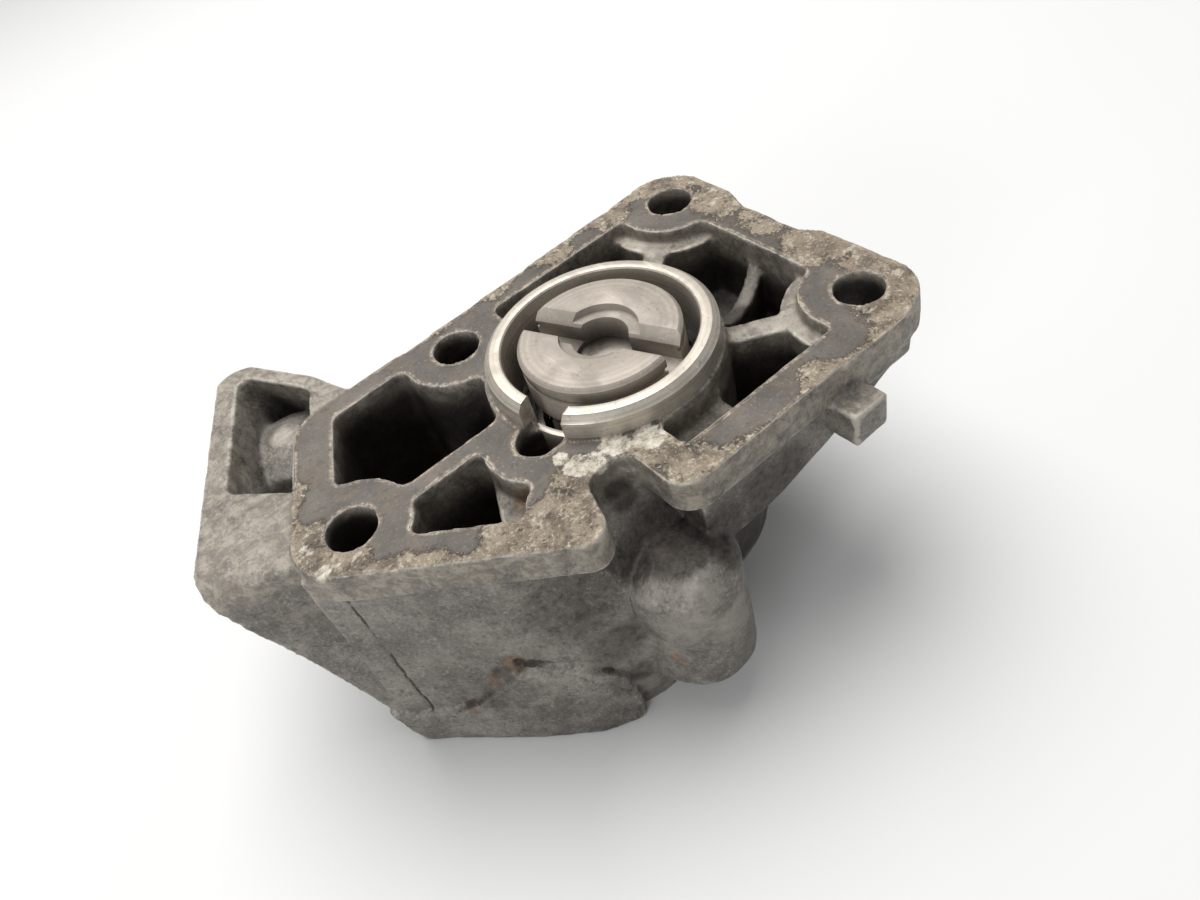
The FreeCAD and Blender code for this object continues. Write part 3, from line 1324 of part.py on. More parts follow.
def check(pieces):
    """Stop if a feature failed or a piece is not made of sound solids."""
    for item in doc.Objects:
        if "Invalid" in item.State or "Error" in item.State:
            raise RuntimeError("%s failed" % item.Name)
    for body in pieces:
        if body.Shape.isNull() or not body.Shape.isValid() or not body.Shape.Solids:
            raise RuntimeError("%s has no sound shape" % body.Name)


def write(pieces):
    os.makedirs("parts", exist_ok=True)
    for body in pieces:
        body.Label = body.Name
        body.Placement = Placement()
        body.Shape.exportStep("parts/%s.step" % body.Name)


def main():
    pieces = build_all()
    doc.recompute()
    check(pieces)
    write(pieces)


main()
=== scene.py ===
"""Looks of the distributor housing: a weathered aluminium casting round a turned steel coupling."""
import json
import math

import bmesh
import bpy
import numpy as np
from mathutils import Matrix, Vector
from mathutils.kdtree import KDTree


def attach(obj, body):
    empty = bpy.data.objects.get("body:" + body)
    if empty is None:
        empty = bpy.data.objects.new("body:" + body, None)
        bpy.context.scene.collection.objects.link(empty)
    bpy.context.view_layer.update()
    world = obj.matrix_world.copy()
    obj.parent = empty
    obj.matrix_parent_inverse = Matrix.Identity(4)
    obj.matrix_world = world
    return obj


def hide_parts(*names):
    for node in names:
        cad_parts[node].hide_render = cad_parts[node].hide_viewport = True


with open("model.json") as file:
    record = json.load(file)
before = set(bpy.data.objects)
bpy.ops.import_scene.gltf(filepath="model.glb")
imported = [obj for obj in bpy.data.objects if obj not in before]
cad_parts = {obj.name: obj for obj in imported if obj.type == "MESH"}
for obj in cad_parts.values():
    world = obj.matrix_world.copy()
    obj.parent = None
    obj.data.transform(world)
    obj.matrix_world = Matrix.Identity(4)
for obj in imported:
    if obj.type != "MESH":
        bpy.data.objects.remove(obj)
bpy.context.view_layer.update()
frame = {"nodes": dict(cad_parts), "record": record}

MM = 0.001
FLOOR = -0.056
VOXEL = 0.00045
RING_OUTER = 21.3
RING_INNER = 18.0
RING_TOP = 4.5
RING_LEAD = 1.2
RING_FLOOR = -9.0
RING_CORE = 19.2
DISC_TOP = 4.78
DISC_RADIUS = 15.0
BORE_REACH = 19.0
BOLT_RADIUS = 4.5
DRAIN_RADIUS = 3.9
EDGE_BREAK = 0.12
SLOT_ANGLE = 201.5
SLOT_WIDTH = 8.4
SLOT_DEPTH = 2.2
DRAIN = (-21.0, -7.7)
BOLTS = [(38.5, 25.0), (38.5, -25.0), (-17.0, 25.0), (-53.5, 1.3)]

# The flange's straight edges as a direction and a distance from the bore
LEFT_EDGE = (math.cos(math.radians(153.4)), math.sin(math.radians(153.4)), 59.0)
DIAGONAL = (math.cos(math.radians(-130.2)), math.sin(math.radians(-130.2)), 43.3)
EDGES = [LEFT_EDGE, DIAGONAL, (0.0, -1.0, 35.7), (1.0, 0.0, 48.0), (0.0, 1.0, 34.5)]

# The cavities' insides: clear of the bosses and the flange's edges, and within x and y limits
BOSS_REACH = 10.3
DRAIN_BOSS_REACH = 9.2
CAVITY_FLOOR = -44.0
COOLANT_RING = 22.2
COOLANT_INSET = 7.2
COOLANT_BOX = (-99.0, -16.4, 1.6, 99.0)
RELIEF_INSET = 6.4
RELIEF_BOX = (-99.0, -24.4, -99.0, -1.4)
OIL_BOX = (-6.6, 38.2, -28.6, 28.8)

# Stains and worn places, with painted shade and painted highlights among them: x, y, z in millimetres,
# radius, strength
STAINS_AND_PAINTED_LIGHT = {
    # Smooth dark residue of the gasket
    "gasket": [
        (-49.5, 21.0, 0, 9, 1.0), (-52.0, 12.0, 0, 8, 1.0), (-49.0, 2.0, 0, 9, 1.0),
        (-50.5, -7.0, 0, 6, 0.9), (-41.0, 1.0, 0, 7, 1.0), (-31.2, 0.6, 0, 8, 1.0),
        (-24.0, -1.4, 0, 6, 1.0), (-26.5, -11.0, 0, 6, 0.9), (-42.5, -14.5, 0, 5, 0.8),
        (-30.0, 30.5, 0, 8, 1.0), (-21.0, 24.0, 0, 9, 1.0), (-10.0, 28.0, 0, 7, 0.9),
        (-39.0, 31.5, 0, 7, 0.9), (31.5, 21.5, 0, 6, 1.0), (33.0, -19.5, 0, 6, 1.0),
        (28.5, -30.0, 0, 6, 0.5), (10.0, -31.0, 0, 9, 0.7), (44.0, 6.0, 0, 5, 0.5),
    ],
    # Granular corrosion
    "sand": [
        (-61.5, -1.4, 0, 6, 1.0), (-58.8, 6.0, 0, 4, 0.9), (-57.5, -6.5, 0, 6, 1.0),
        (-56.5, 15.0, 0, 4, 0.8), (-52.5, -11.5, 0, 5, 1.0), (-46.0, -15.5, 0, 4, 0.7),
        (-36.0, -20.5, 0, 7, 0.9), (-30.0, -25.0, 0, 8, 1.0), (-24.0, -28.0, 0, 8, 1.0),
        (-21.5, -19.5, 0, 5, 0.9), (-9.0, -25.0, 0, 6, 1.0), (-8.5, -33.0, 0, 6, 1.0),
        (18.0, -34.5, 0, 5, 0.8), (40.0, -31.0, 0, 9, 1.0), (46.0, -24.0, 0, 8, 1.0),
        (44.0, -10.0, 0, 8, 1.0), (46.0, 4.0, 0, 8, 0.9), (45.0, 16.0, 0, 8, 1.0),
        (43.0, 31.0, 0, 8, 1.0), (28.0, 34.0, 0, 7, 0.9), (12.0, 33.0, 0, 6, 0.8),
        (-3.0, 34.0, 0, 6, 0.7), (-17.0, 34.0, 0, 6, 0.6),
    ],
    "lime": [
        (-20.4, -18.0, 0, 3.2, 0.9), (-18.0, -19.4, 0, 3.0, 0.8), (-21.3, -14.8, 0, 2.2, 0.7),
        (-13.5, -19.4, 0, 3.4, 0.8), (-8.6, -22.3, 0, 3.6, 0.9), (-5.0, -23.2, 0, 2.6, 0.8),
        (-60.8, 3.0, 0, 2.4, 0.55), (-61.5, -3.5, 0, 2.6, 0.6), (-13.0, -21.0, -3, 3, 0.6),
    ],
    "rust": [
        (-29.4, -13.8, -4.5, 4.5, 0.9), (-21.0, -8.5, -5, 6, 0.8), (-45.0, -17.5, -32, 3.5, 0.9),
        (-48.5, -14.5, -37, 3.5, 0.8), (-53.5, -10.0, -45, 3.5, 0.8), (-22.8, -35.7, -38.2, 3.0, 0.8),
        (42.0, -34.0, -5, 5, 0.6), (20.0, -38.0, -8, 4, 0.5), (-50.0, -12.5, -24, 5, 0.4),
        (45.0, -20.0, 0, 5, 0.5), (44.5, -3.0, 0, 4, 0.5), (2.0, -26.0, -5.5, 5, 0.6),
        (-61.5, 1.0, -3, 4, 0.5), (-70.0, 4.0, -12, 4, 0.4), (30.0, 30.0, -4, 6, 0.5),
    ],
    # Dark oily dirt, and painted shade on the near wall and under the notch
    "oil": [
        (-14.5, -30.0, -15, 9, 1.0), (-7.0, -34.0, -17, 8, 0.9), (-20.0, -27.0, -17, 7, 0.8),
        (6.0, -33.0, -19, 12, 0.8), (24.0, -30.0, -18, 12, 0.6), (-22.0, -30.0, -27, 4, 0.6),
        (-27.5, -29.0, -44, 4, 0.6), (-63.0, 26.0, -12, 6, 0.7), (-57.0, 32.0, -14, 6, 0.7),
        (-49.0, 52.0, -12, 6, 0.6), (-17.0, -22.5, -7, 4, 0.7), (-46.5, -16.0, -34.5, 3.5, 0.7),
        (-34.0, -25.5, -20, 12, 0.6), (-29.0, -27.5, -33, 9, 0.6), (-50.0, -13.0, -42, 6, 0.5),
    ],
    # Places rubbed smooth, painted lighter as painted highlights
    "polish_and_highlight": [
        (-20.6, -38.8, -26, 7, 0.7), (-13.0, -41.0, -30, 7, 0.7), (-22.7, -31.3, -18.8, 5, 0.7),
        (-16.5, -39.5, -19, 5, 0.7), (-52.1, 42.1, -7, 3.2, 1.0), (-28.5, -28.0, -49, 5, 0.6),
        (28.7, 20.6, -3, 6, 0.6), (26.0, -19.0, -4, 7, 0.5), (33.0, -3.0, -8, 5, 0.5),
    ],
}

# Cracks and dirty seams in the cast skin: points, width, depth
SEAMS = [
    ([(-60.9, -4.0, -7.5), (-60.9, -4.4, -19.0), (-60.6, -4.0, -33.0), (-60.5, -4.4, -46.0)], 0.3, 0.3),
    ([(-54.6, -9.2, -44.5), (-50.2, -12.9, -40.3), (-47.4, -15.2, -36.4),
      (-44.2, -18.0, -31.8)], 0.7, 0.5),
    ([(-44.2, -18.0, -31.8), (-42.6, -19.6, -38.0), (-42.0, -20.4, -44.0)], 0.25, 0.15),
    ([(-44.2, -18.0, -31.6), (-39.0, -22.0, -33.2), (-34.5, -25.4, -36.0),
      (-31.0, -27.6, -41.0)], 0.5, 0.2),
]

# The lip on the near wall's foot; its top is given as place along the wall and height
LIP_OUT = 1.1
LIP_END_X = -29.5
LIP_FROM_BORE = 36.0
LIP_TURN = -40.2
LIP_TOP = [(-38.0, -46.0), (-30.0, -40.0), (-20.8, -31.6), (-10.0, -36.0), (-4.0, -44.0)]

# Soft swellings and hollows of the cast walls: x, y, z, radius, height
SWELLS = [
    (-25.0, -28.5, -24.0, 6.5, 1.3), (-27.0, -28.0, -13.0, 5.0, 0.6), (-24.0, -31.0, -36.0, 3.0, -0.8),
    (-17.0, -38.0, -24.0, 4.0, 0.7), (-12.5, -40.5, -34.0, 6.0, 0.5), (-20.5, -37.5, -36.0, 5.0, -0.7),
    (-38.0, -22.5, -24.0, 9.0, -1.0), (-52.0, -11.5, -26.0, 9.0, 0.3), (-72.0, 8.0, -12.0, 8.0, 0.5),
    (-26.5, -31.0, -45.0, 4.5, 1.2),
]


def coordinates(mesh):
    flat = np.empty(len(mesh.vertices) * 3, np.float32)
    mesh.vertices.foreach_get("co", flat)
    return flat.reshape(-1, 3).astype(float)


def edge_pairs(mesh):
    flat = np.empty(len(mesh.edges) * 2, np.int32)
    mesh.edges.foreach_get("vertices", flat)
    return flat.reshape(-1, 2)


def vertex_normals(mesh):
    flat = np.empty(len(mesh.vertices) * 3, np.float32)
    mesh.vertex_normals.foreach_get("vector", flat)
    return flat.reshape(-1, 3).astype(float)


def neighbour_mean(values, edges, count):
    """The mean of each vertex's neighbours, for one or more columns."""
    table = values.reshape(count, -1)
    both = np.concatenate([edges[:, 0], edges[:, 1]])
    other = np.concatenate([edges[:, 1], edges[:, 0]])
    number = np.maximum(np.bincount(both, minlength=count), 1)
    columns = []
    for k in range(table.shape[1]):
        columns.append(np.bincount(both, weights=table[other, k], minlength=count) / number)
    return np.stack(columns, axis=1).reshape(values.shape)


def relaxed(values, edges, count, passes, share=0.5):
    for _ in range(passes):
        values = values + share * (neighbour_mean(values, edges, count) - values)
    return values


def corner_value(ix, iy, iz, seed):
    """A fixed number from -1 to 1 for each corner of a lattice."""
    mixed = ix.astype(np.int64) * 73856093
    mixed = mixed ^ (iy.astype(np.int64) * 19349663)
    mixed = mixed ^ (iz.astype(np.int64) * 83492791)
    mixed = (mixed + seed * 2654435761) & 0xFFFFFFFF
    mixed = ((mixed ^ (mixed >> 15)) * 2246822519) & 0xFFFFFFFF
    mixed = ((mixed ^ (mixed >> 13)) * 3266489917) & 0xFFFFFFFF
    mixed = mixed ^ (mixed >> 16)
    return mixed / 2147483647.5 - 1.0


def noise(points, scale, seed=0):
    """Smooth noise from -1 to 1 whose lumps are about scale across."""
    place = points / scale
    cell = np.floor(place)
    part = place - cell
    part = part * part * (3 - 2 * part)
    cell = cell.astype(np.int64)
    total = np.zeros(len(points))
    for dx in (0, 1):
        for dy in (0, 1):
            for dz in (0, 1):
                weight = np.abs(1 - dx - part[:, 0])
                weight = weight * np.abs(1 - dy - part[:, 1])
                weight = weight * np.abs(1 - dz - part[:, 2])
                total += weight * corner_value(cell[:, 0] + dx, cell[:, 1] + dy, cell[:, 2] + dz, seed)
    return total


def layered(points, scale, seed=0, layers=3):
    total = np.zeros(len(points))
    strength = 1.0
    for k in range(layers):
        total += strength * noise(points, scale / 2 ** k, seed + 17 * k)
        strength *= 0.5
    return total / 1.75


def ramp(values, low, high):
    part = np.clip((values - low) / (high - low), 0, 1)
    return part * part * (3 - 2 * part)


def store(mesh, name, values):
    attribute = mesh.attributes.new(name, "FLOAT", "POINT")
    attribute.data.foreach_set("value", values.astype(np.float32))


def linked(name, mesh):
    obj = bpy.data.objects.new(name, mesh)
    bpy.context.scene.collection.objects.link(obj)
    return obj


def applied(obj):
    """The object's mesh with its modifiers applied."""
    bpy.context.view_layer.update()
    made = bpy.data.meshes.new_from_object(obj.evaluated_get(bpy.context.evaluated_depsgraph_get()))
    obj.modifiers.clear()
    obj.data = made
    return obj


def smooth_faces(mesh):
    mesh.polygons.foreach_set("use_smooth", np.ones(len(mesh.polygons), dtype=bool))


def piece_from(name, verts, faces, body, material):
    mesh = bpy.data.meshes.new(name)
    mesh.from_pydata([tuple(MM * c for c in v) for v in verts], [], faces)
    mesh.validate()
    obj = linked(name, mesh)
    obj.data.materials.append(material)
    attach(obj, body)
    return obj


# Shader building

class Shader:
    """A material's node graph, built from short calls."""

    def __init__(self, name):
        self.material = bpy.data.materials.new(name)
        self.material.use_nodes = True
        self.tree = self.material.node_tree
        self.tree.nodes.clear()
        self.output = self.add("ShaderNodeOutputMaterial")
        self.surface = self.add("ShaderNodeBsdfPrincipled")
        self.join(self.surface.outputs[0], self.output.inputs["Surface"])
        self.place = self.add("ShaderNodeTexCoord").outputs["Object"]

    def add(self, kind, **settings):
        node = self.tree.nodes.new(kind)
        for key, value in settings.items():
            setattr(node, key, value)
        return node

    def join(self, source, target):
        self.tree.links.new(source, target)

    def feed(self, value, socket):
        if isinstance(value, bpy.types.NodeSocket):
            self.join(value, socket)
        elif isinstance(value, tuple) and len(value) == 3 and socket.type == "RGBA":
            socket.default_value = (*value, 1.0)
        else:
            socket.default_value = value

    def attribute(self, name):
        return self.add("ShaderNodeAttribute", attribute_name=name).outputs["Fac"]

    def noise(self, size_mm, detail=4.0, roughness=0.55, distortion=0.0, place=None):
        node = self.add("ShaderNodeTexNoise")
        self.join(place or self.place, node.inputs["Vector"])
        node.inputs["Scale"].default_value = 1000.0 / size_mm
        node.inputs["Detail"].default_value = detail
        node.inputs["Roughness"].default_value = roughness
        node.inputs["Distortion"].default_value = distortion
        return node.outputs["Fac"]

    def band(self, value, low, high, out_low=0.0, out_high=1.0):
        node = self.add("ShaderNodeMapRange", interpolation_type="SMOOTHSTEP")
        self.feed(value, node.inputs["Value"])
        limits = {"From Min": low, "From Max": high, "To Min": out_low, "To Max": out_high}
        for socket, number in limits.items():
            node.inputs[socket].default_value = number
        return node.outputs["Result"]

    def math(self, operation, a, b=0.0):
        node = self.add("ShaderNodeMath", operation=operation)
        self.feed(a, node.inputs[0])
        self.feed(b, node.inputs[1])
        return node.outputs[0]

    def times(self, *values):
        result = values[0]
        for value in values[1:]:
            result = self.math("MULTIPLY", result, value)
        return result

    def add_up(self, *values):
        result = values[0]
        for value in values[1:]:
            result = self.math("ADD", result, value)
        return result

    def tones(self, value, *stops):
        """A colour that runs through the stops, each a position and a colour."""
        node = self.add("ShaderNodeValToRGB")
        self.feed(value, node.inputs[0])
        marks = node.color_ramp.elements
        while len(marks) < len(stops):
            marks.new(1.0)
        for mark, (position, color) in zip(marks, stops):
            mark.position = position
            mark.color = (*color, 1.0)
        return node.outputs["Color"]

    def mix(self, factor, a, b):
        node = self.add("ShaderNodeMix", data_type="RGBA")
        self.feed(factor, node.inputs[0])
        self.feed(a, node.inputs[6])
        self.feed(b, node.inputs[7])
        return node.outputs[2]

    def blend(self, factor, a, b):
        node = self.add("ShaderNodeMix", data_type="FLOAT")
        self.feed(factor, node.inputs[0])
        self.feed(a, node.inputs[2])
        self.feed(b, node.inputs[3])
        return node.outputs[0]

    def bump(self, height, distance_mm, strength):
        node = self.add("ShaderNodeBump")
        node.inputs["Strength"].default_value = strength
        node.inputs["Distance"].default_value = distance_mm * MM
        self.feed(height, node.inputs["Height"])
        return node.outputs["Normal"]

    def finish(self, color, roughness, metallic, normal):
        self.feed(color, self.surface.inputs["Base Color"])
        self.feed(roughness, self.surface.inputs["Roughness"])
        self.feed(metallic, self.surface.inputs["Metallic"])
        self.join(normal, self.surface.inputs["Normal"])
        return self.material


def srgb(r, g, b):
    """Linear colour from 0 to 255 display values."""
    def one(value):
        value /= 255
        return value / 12.92 if value <= 0.04045 else ((value + 0.055) / 1.055) ** 2.4
    return one(r), one(g), one(b)


def casting_material():
    """Weathered cast aluminium, with gasket residue and corrosion on its machined face, painted shade
    in its hollows and cavities and painted highlights on rubbed places.
    """
    s = Shader("cast_aluminium")
    face, rim, edge = [s.attribute(n) for n in ("face", "rim", "edge")]
    crest, hollow, deep, side = [s.attribute(n) for n in ("crest", "hollow", "deep", "side")]
    seam, gasket, sand, lime = [s.attribute(n) for n in ("seam", "gasket", "sand", "lime")]
    rust, oil, polish_and_highlight = [s.attribute(n) for n in ("rust", "oil", "polish_and_highlight")]
    broad = s.noise(16, 6, 0.62)
    patch = s.noise(5, 9, 0.7, 0.3)
    grit = s.noise(1.7, 8, 0.78)
    flake = s.noise(2.6, 9, 0.8, 0.4)
    grain = s.noise(0.6, 5, 0.7)
    drift = s.math("SUBTRACT", patch, 0.5)
    crumb = s.math("SUBTRACT", grit, 0.5)
    # Cast skin
    skin = s.tones(broad, (0.34, srgb(96, 92, 87)), (0.5, srgb(119, 114, 108)),
                   (0.66, srgb(143, 138, 131)))
    skin = s.mix(s.times(s.band(patch, 0.5, 0.66), 0.4), skin, srgb(158, 152, 143))
    skin = s.mix(s.times(s.band(patch, 0.5, 0.36), 0.45), skin, srgb(78, 74, 70))
    skin = s.mix(s.times(s.band(grit, 0.48, 0.36), 0.55), skin, srgb(64, 60, 56))
    skin = s.mix(s.times(s.band(grit, 0.56, 0.68), 0.4), skin, srgb(186, 181, 172))
    skin = s.mix(s.times(s.band(grain, 0.46, 0.36), 0.45), skin, srgb(62, 58, 54))
    skin = s.mix(s.times(s.band(grain, 0.54, 0.64), 0.3), skin, srgb(182, 176, 167))
    flank = s.mix(s.band(flake, 0.42, 0.58), srgb(116, 109, 99), srgb(168, 160, 146))
    skin = s.mix(s.times(side, s.band(patch, 0.34, 0.5), 0.6), skin, flank)
    # Dirt and painted shade: the skin painted darker in broad hollows
    dirt_and_shade = s.band(s.add_up(hollow, s.times(drift, 0.9)), 0.16, 0.62)
    skin = s.mix(s.times(dirt_and_shade, 0.8), skin, srgb(58, 52, 47))
    # Oil film and painted shade: the insides of the cavities and holes painted dark
    murk = s.tones(patch, (0.36, srgb(40, 35, 32)), (0.55, srgb(58, 52, 48)), (0.7, srgb(76, 69, 64)))
    skin = s.mix(s.times(deep, 0.9), skin, murk)
    # Painted highlight: rubbed places painted lighter, besides their lower roughness
    shine_and_highlight = s.band(s.add_up(polish_and_highlight, s.times(drift, 0.8)), 0.25, 0.8)
    skin = s.mix(s.times(shine_and_highlight, 0.4), skin, srgb(160, 154, 146))
    worn = s.times(s.band(s.add_up(crest, s.times(crumb, 1.6), s.times(drift, 1.2)), 0.45, 0.9),
                   s.math("SUBTRACT", 1.0, deep))
    skin = s.mix(s.times(worn, 0.6), skin, srgb(190, 184, 174))
    # Machined face
    film = s.tones(broad, (0.38, srgb(66, 60, 54)), (0.5, srgb(80, 74, 68)), (0.62, srgb(94, 87, 80)))
    film = s.mix(s.times(s.band(patch, 0.5, 0.62), 0.45), film, srgb(98, 84, 68))
    film = s.mix(s.times(s.band(grit, 0.47, 0.37), 0.55), film, srgb(46, 42, 38))
    film = s.mix(s.times(s.band(grain, 0.55, 0.66), 0.4), film, srgb(136, 126, 113))
    crust = s.mix(s.band(patch, 0.4, 0.58), srgb(96, 86, 74), srgb(138, 126, 109))
    crust = s.mix(s.times(s.band(broad, 0.5, 0.64), 0.5), crust, srgb(116, 104, 90))
    crust = s.mix(s.times(s.band(flake, 0.53, 0.6), 0.75), crust, srgb(184, 175, 158))
    crust = s.mix(s.times(s.band(grit, 0.47, 0.38), 0.8), crust, srgb(60, 53, 46))
    crust = s.mix(s.times(s.band(grain, 0.56, 0.64), 0.5), crust, srgb(196, 188, 173))
    crust = s.mix(s.times(s.band(grain, 0.44, 0.36), 0.5), crust, srgb(74, 66, 57))
    amount = s.add_up(sand, s.band(edge, 0.2, 3.2, 0.7, 0.0), s.times(gasket, -0.55),
                      s.times(drift, 1.7), s.times(crumb, 1.1),
                      s.times(s.math("SUBTRACT", grain, 0.5), 1.3))
    sandy = s.band(amount, 0.3, 0.56)
    plate = s.mix(sandy, film, crust)
    bare = s.times(s.band(rim, 0.1, 0.7, 1.0, 0.0), s.band(flake, 0.44, 0.56))
    border = s.mix(s.band(grit, 0.42, 0.6), srgb(136, 112, 82), srgb(196, 186, 168))
    plate = s.mix(s.times(bare, 0.75), plate, border)
    color = s.mix(face, skin, plate)
    # Stains over both, with painted shade and painted highlights among them
    limed = s.band(s.add_up(lime, s.times(drift, 1.6), s.times(crumb, 0.8)), 0.42, 0.6)
    chalk = s.tones(grit, (0.34, srgb(116, 110, 94)), (0.46, srgb(172, 164, 148)),
                    (0.6, srgb(212, 206, 195)))
    color = s.mix(s.times(limed, 0.85), color, chalk)
    rusted = s.band(s.add_up(rust, s.times(drift, 1.8), s.times(crumb, 0.8)), 0.5, 0.85)
    brown = s.tones(grit, (0.36, srgb(58, 42, 32)), (0.52, srgb(104, 78, 54)),
                    (0.66, srgb(152, 124, 88)))
    color = s.mix(s.times(rusted, 0.75), color, brown)
    # Oily dirt and painted shade: darker on the near wall and under the notch
    oil_and_shade = s.band(s.add_up(oil, s.times(drift, 1.3)), 0.26, 0.78)
    grease_and_shade_tone = s.mix(s.band(grit, 0.4, 0.6), srgb(34, 30, 28), srgb(70, 63, 58))
    color = s.mix(s.times(oil_and_shade, 0.78), color, grease_and_shade_tone)
    cracked = s.band(s.add_up(seam, s.times(crumb, 1.8), s.times(drift, 1.6)), 0.45, 0.85)
    color = s.mix(s.times(cracked, 0.8), color, srgb(40, 32, 27))
    rough = s.blend(shine_and_highlight, s.band(patch, 0.3, 0.7, 0.44, 0.62), 0.34)
    rough = s.blend(deep, rough, 0.4)
    rough = s.blend(face, rough, s.blend(sandy, 0.6, 0.85))
    rough = s.blend(limed, rough, 0.9)
    metal = s.blend(s.times(dirt_and_shade, 0.8), s.blend(face, 0.6, s.blend(sandy, 0.12, 0.05)), 0.1)
    metal = s.blend(s.math("MAXIMUM", limed, s.times(rusted, 0.7)), metal, 0.0)
    relief = s.blend(face, 0.75, s.blend(sandy, 0.12, 1.0))
    rise = s.times(s.add_up(grit, s.times(grain, 0.35)), relief)
    rise = s.add_up(rise, s.times(limed, 0.15))
    return s.finish(color, rough, metal, s.bump(rise, 0.42, 0.85))


# Turned metals: light and dark tone, roughness, width of the turned lines, metal, stain
TURNED = {
    "machined_ring": ((196, 188, 176), (160, 152, 141), 0.4, 0.6, 0.6, 0.3),
    "coupling_steel": ((158, 149, 138), (140, 131, 121), 0.5, 0.5, 0.2, 0.25),
    "shaft_steel": ((160, 154, 146), (124, 118, 111), 0.34, 0.4, 0.95, 0.35),
    "bearing_steel": ((190, 189, 188), (160, 158, 156), 0.22, 0.5, 1.0, 0.1),
    "ball_steel": ((205, 205, 206), (188, 188, 189), 0.12, 3.0, 1.0, 0.05),
}


def turned_material(name):
    """Turned metal with fine rings round the shaft's axis."""
    light, dark, rough, turned_mm, metal, stain = TURNED[name]
    light = srgb(*light)
    dark = srgb(*dark)
    s = Shader(name)
    split = s.add("ShaderNodeSeparateXYZ")
    s.join(s.place, split.inputs[0])
    x, y, z = split.outputs
    radius = s.math("SQRT", s.math("ADD", s.times(x, x), s.times(y, y)))
    merge = s.add("ShaderNodeCombineXYZ")
    s.join(radius, merge.inputs[0])
    s.join(z, merge.inputs[1])
    rings = s.noise(turned_mm, 3, 0.7, place=merge.outputs[0])
    rings = s.blend(s.band(radius, 0.008, 0.0145, 0.12, 1.0), 0.5, rings)
    broad = s.noise(6, 5, 0.6, 0.5)
    grain = s.noise(0.7, 3, 0.6)
    scratch = s.add("ShaderNodeMapping")
    scratch.inputs["Rotation"].default_value = (0, 0, 0.7)
    scratch.inputs["Scale"].default_value = (1, 0.06, 1)
    s.join(s.place, scratch.inputs["Vector"])
    lines = s.noise(0.6, 2, 0.6, place=scratch.outputs[0])
    color = s.mix(s.band(rings, 0.3, 0.7), dark, light)
    stained = tuple(0.45 * c for c in dark)
    speck = tuple(0.5 * c for c in dark)
    bright = tuple(min(1, 1.25 * c) for c in light)
    color = s.mix(s.times(s.band(broad, 0.45, 0.68), stain), color, stained)
    color = s.mix(s.times(s.band(grain, 0.58, 0.72), 0.5), color, speck)
    color = s.mix(s.times(s.band(lines, 0.62, 0.72), 0.5), color, bright)
    roughness = s.band(broad, 0.3, 0.7, rough - 0.08, rough + 0.12)
    # Dirt and painted shade: sunk places in the slot and recess painted dark
    sunk = s.attribute("sunk")
    grime_and_shade = s.mix(s.band(grain, 0.4, 0.6), srgb(34, 28, 24), srgb(66, 56, 48))
    color = s.mix(s.times(sunk, 0.85), color, grime_and_shade)
    metal = s.blend(sunk, metal, 0.1)
    normal = s.bump(s.math("ADD", rings, s.times(grain, 0.5)), 0.03, 0.5)
    return s.finish(color, roughness, metal, normal)


def spring_material():
    s = Shader("spring_steel")
    color = s.mix(s.band(s.noise(3, 5, 0.6), 0.35, 0.65), srgb(48, 46, 45), srgb(84, 80, 76))
    color = s.mix(s.times(s.band(s.noise(0.8, 3), 0.58, 0.7), 0.6), color, srgb(110, 86, 64))
    return s.finish(color, 0.42, 0.8, s.bump(s.noise(0.7, 4), 0.05, 0.5))


def sheet_material():
    s = Shader("cage_steel")
    color = s.mix(s.band(s.noise(4, 5, 0.6), 0.35, 0.65), srgb(140, 134, 122), srgb(176, 170, 156))
    rough = s.band(s.noise(2, 4), 0.3, 0.7, 0.34, 0.5)
    return s.finish(color, rough, 0.85, s.bump(s.noise(0.6, 3), 0.04, 0.4))


def rubber_material():
    s = Shader("seal_rubber")
    color = s.mix(s.band(s.noise(3, 5, 0.6), 0.4, 0.65), srgb(30, 28, 27), srgb(52, 48, 45))
    rough = s.band(s.noise(2, 4), 0.3, 0.7, 0.55, 0.75)
    return s.finish(color, rough, 0.0, s.bump(s.noise(0.5, 3), 0.05, 0.4))


# The casting

def voxel_copy(node, name, material):
    """A copy of a CAD node with an even mesh that can carry fine relief."""
    obj = linked(name, frame["nodes"][node].data.copy())
    remesh = obj.modifiers.new("voxels", "REMESH")
    remesh.mode = "VOXEL"
    remesh.voxel_size = VOXEL
    remesh.use_smooth_shade = True
    applied(obj)
    obj.data.materials.clear()
    obj.data.materials.append(material)
    return obj


def set_points(mesh, points):
    mesh.vertices.foreach_set("co", (points * MM).astype(np.float32).ravel())
    mesh.update()


def machined_points(points, radius):
    """The turned and drilled surfaces, which carry no cast skin."""
    machined = (radius < RING_OUTER + 0.6) & (points[:, 2] > RING_FLOOR - 0.3)
    machined |= radius < BORE_REACH
    for x, y in BOLTS:
        machined |= np.hypot(points[:, 0] - x, points[:, 1] - y) < BOLT_RADIUS + 0.2
    machined |= points[:, 2] < FLOOR / MM + 0.4
    return machined


def cast_relief(points, ragged):
    """The height of the cast skin's lumps, swellings, lip and cracks."""
    lumps = 0.16 * layered(points, 5.0, 3) + 0.09 * layered(points, 1.6, 9, 2)
    for x, y, z, reach, height in SWELLS:
        away = ((points - (x, y, z)) ** 2).sum(1) / reach ** 2
        lumps += height * np.exp(-1.5 * away)
    lumps += LIP_OUT * below_lip(ragged)
    for line, width, sink in SEAMS:
        lumps -= sink * (1 - ramp(line_distance(ragged, line), 0.2 * width, 1.6 * width))
    return lumps


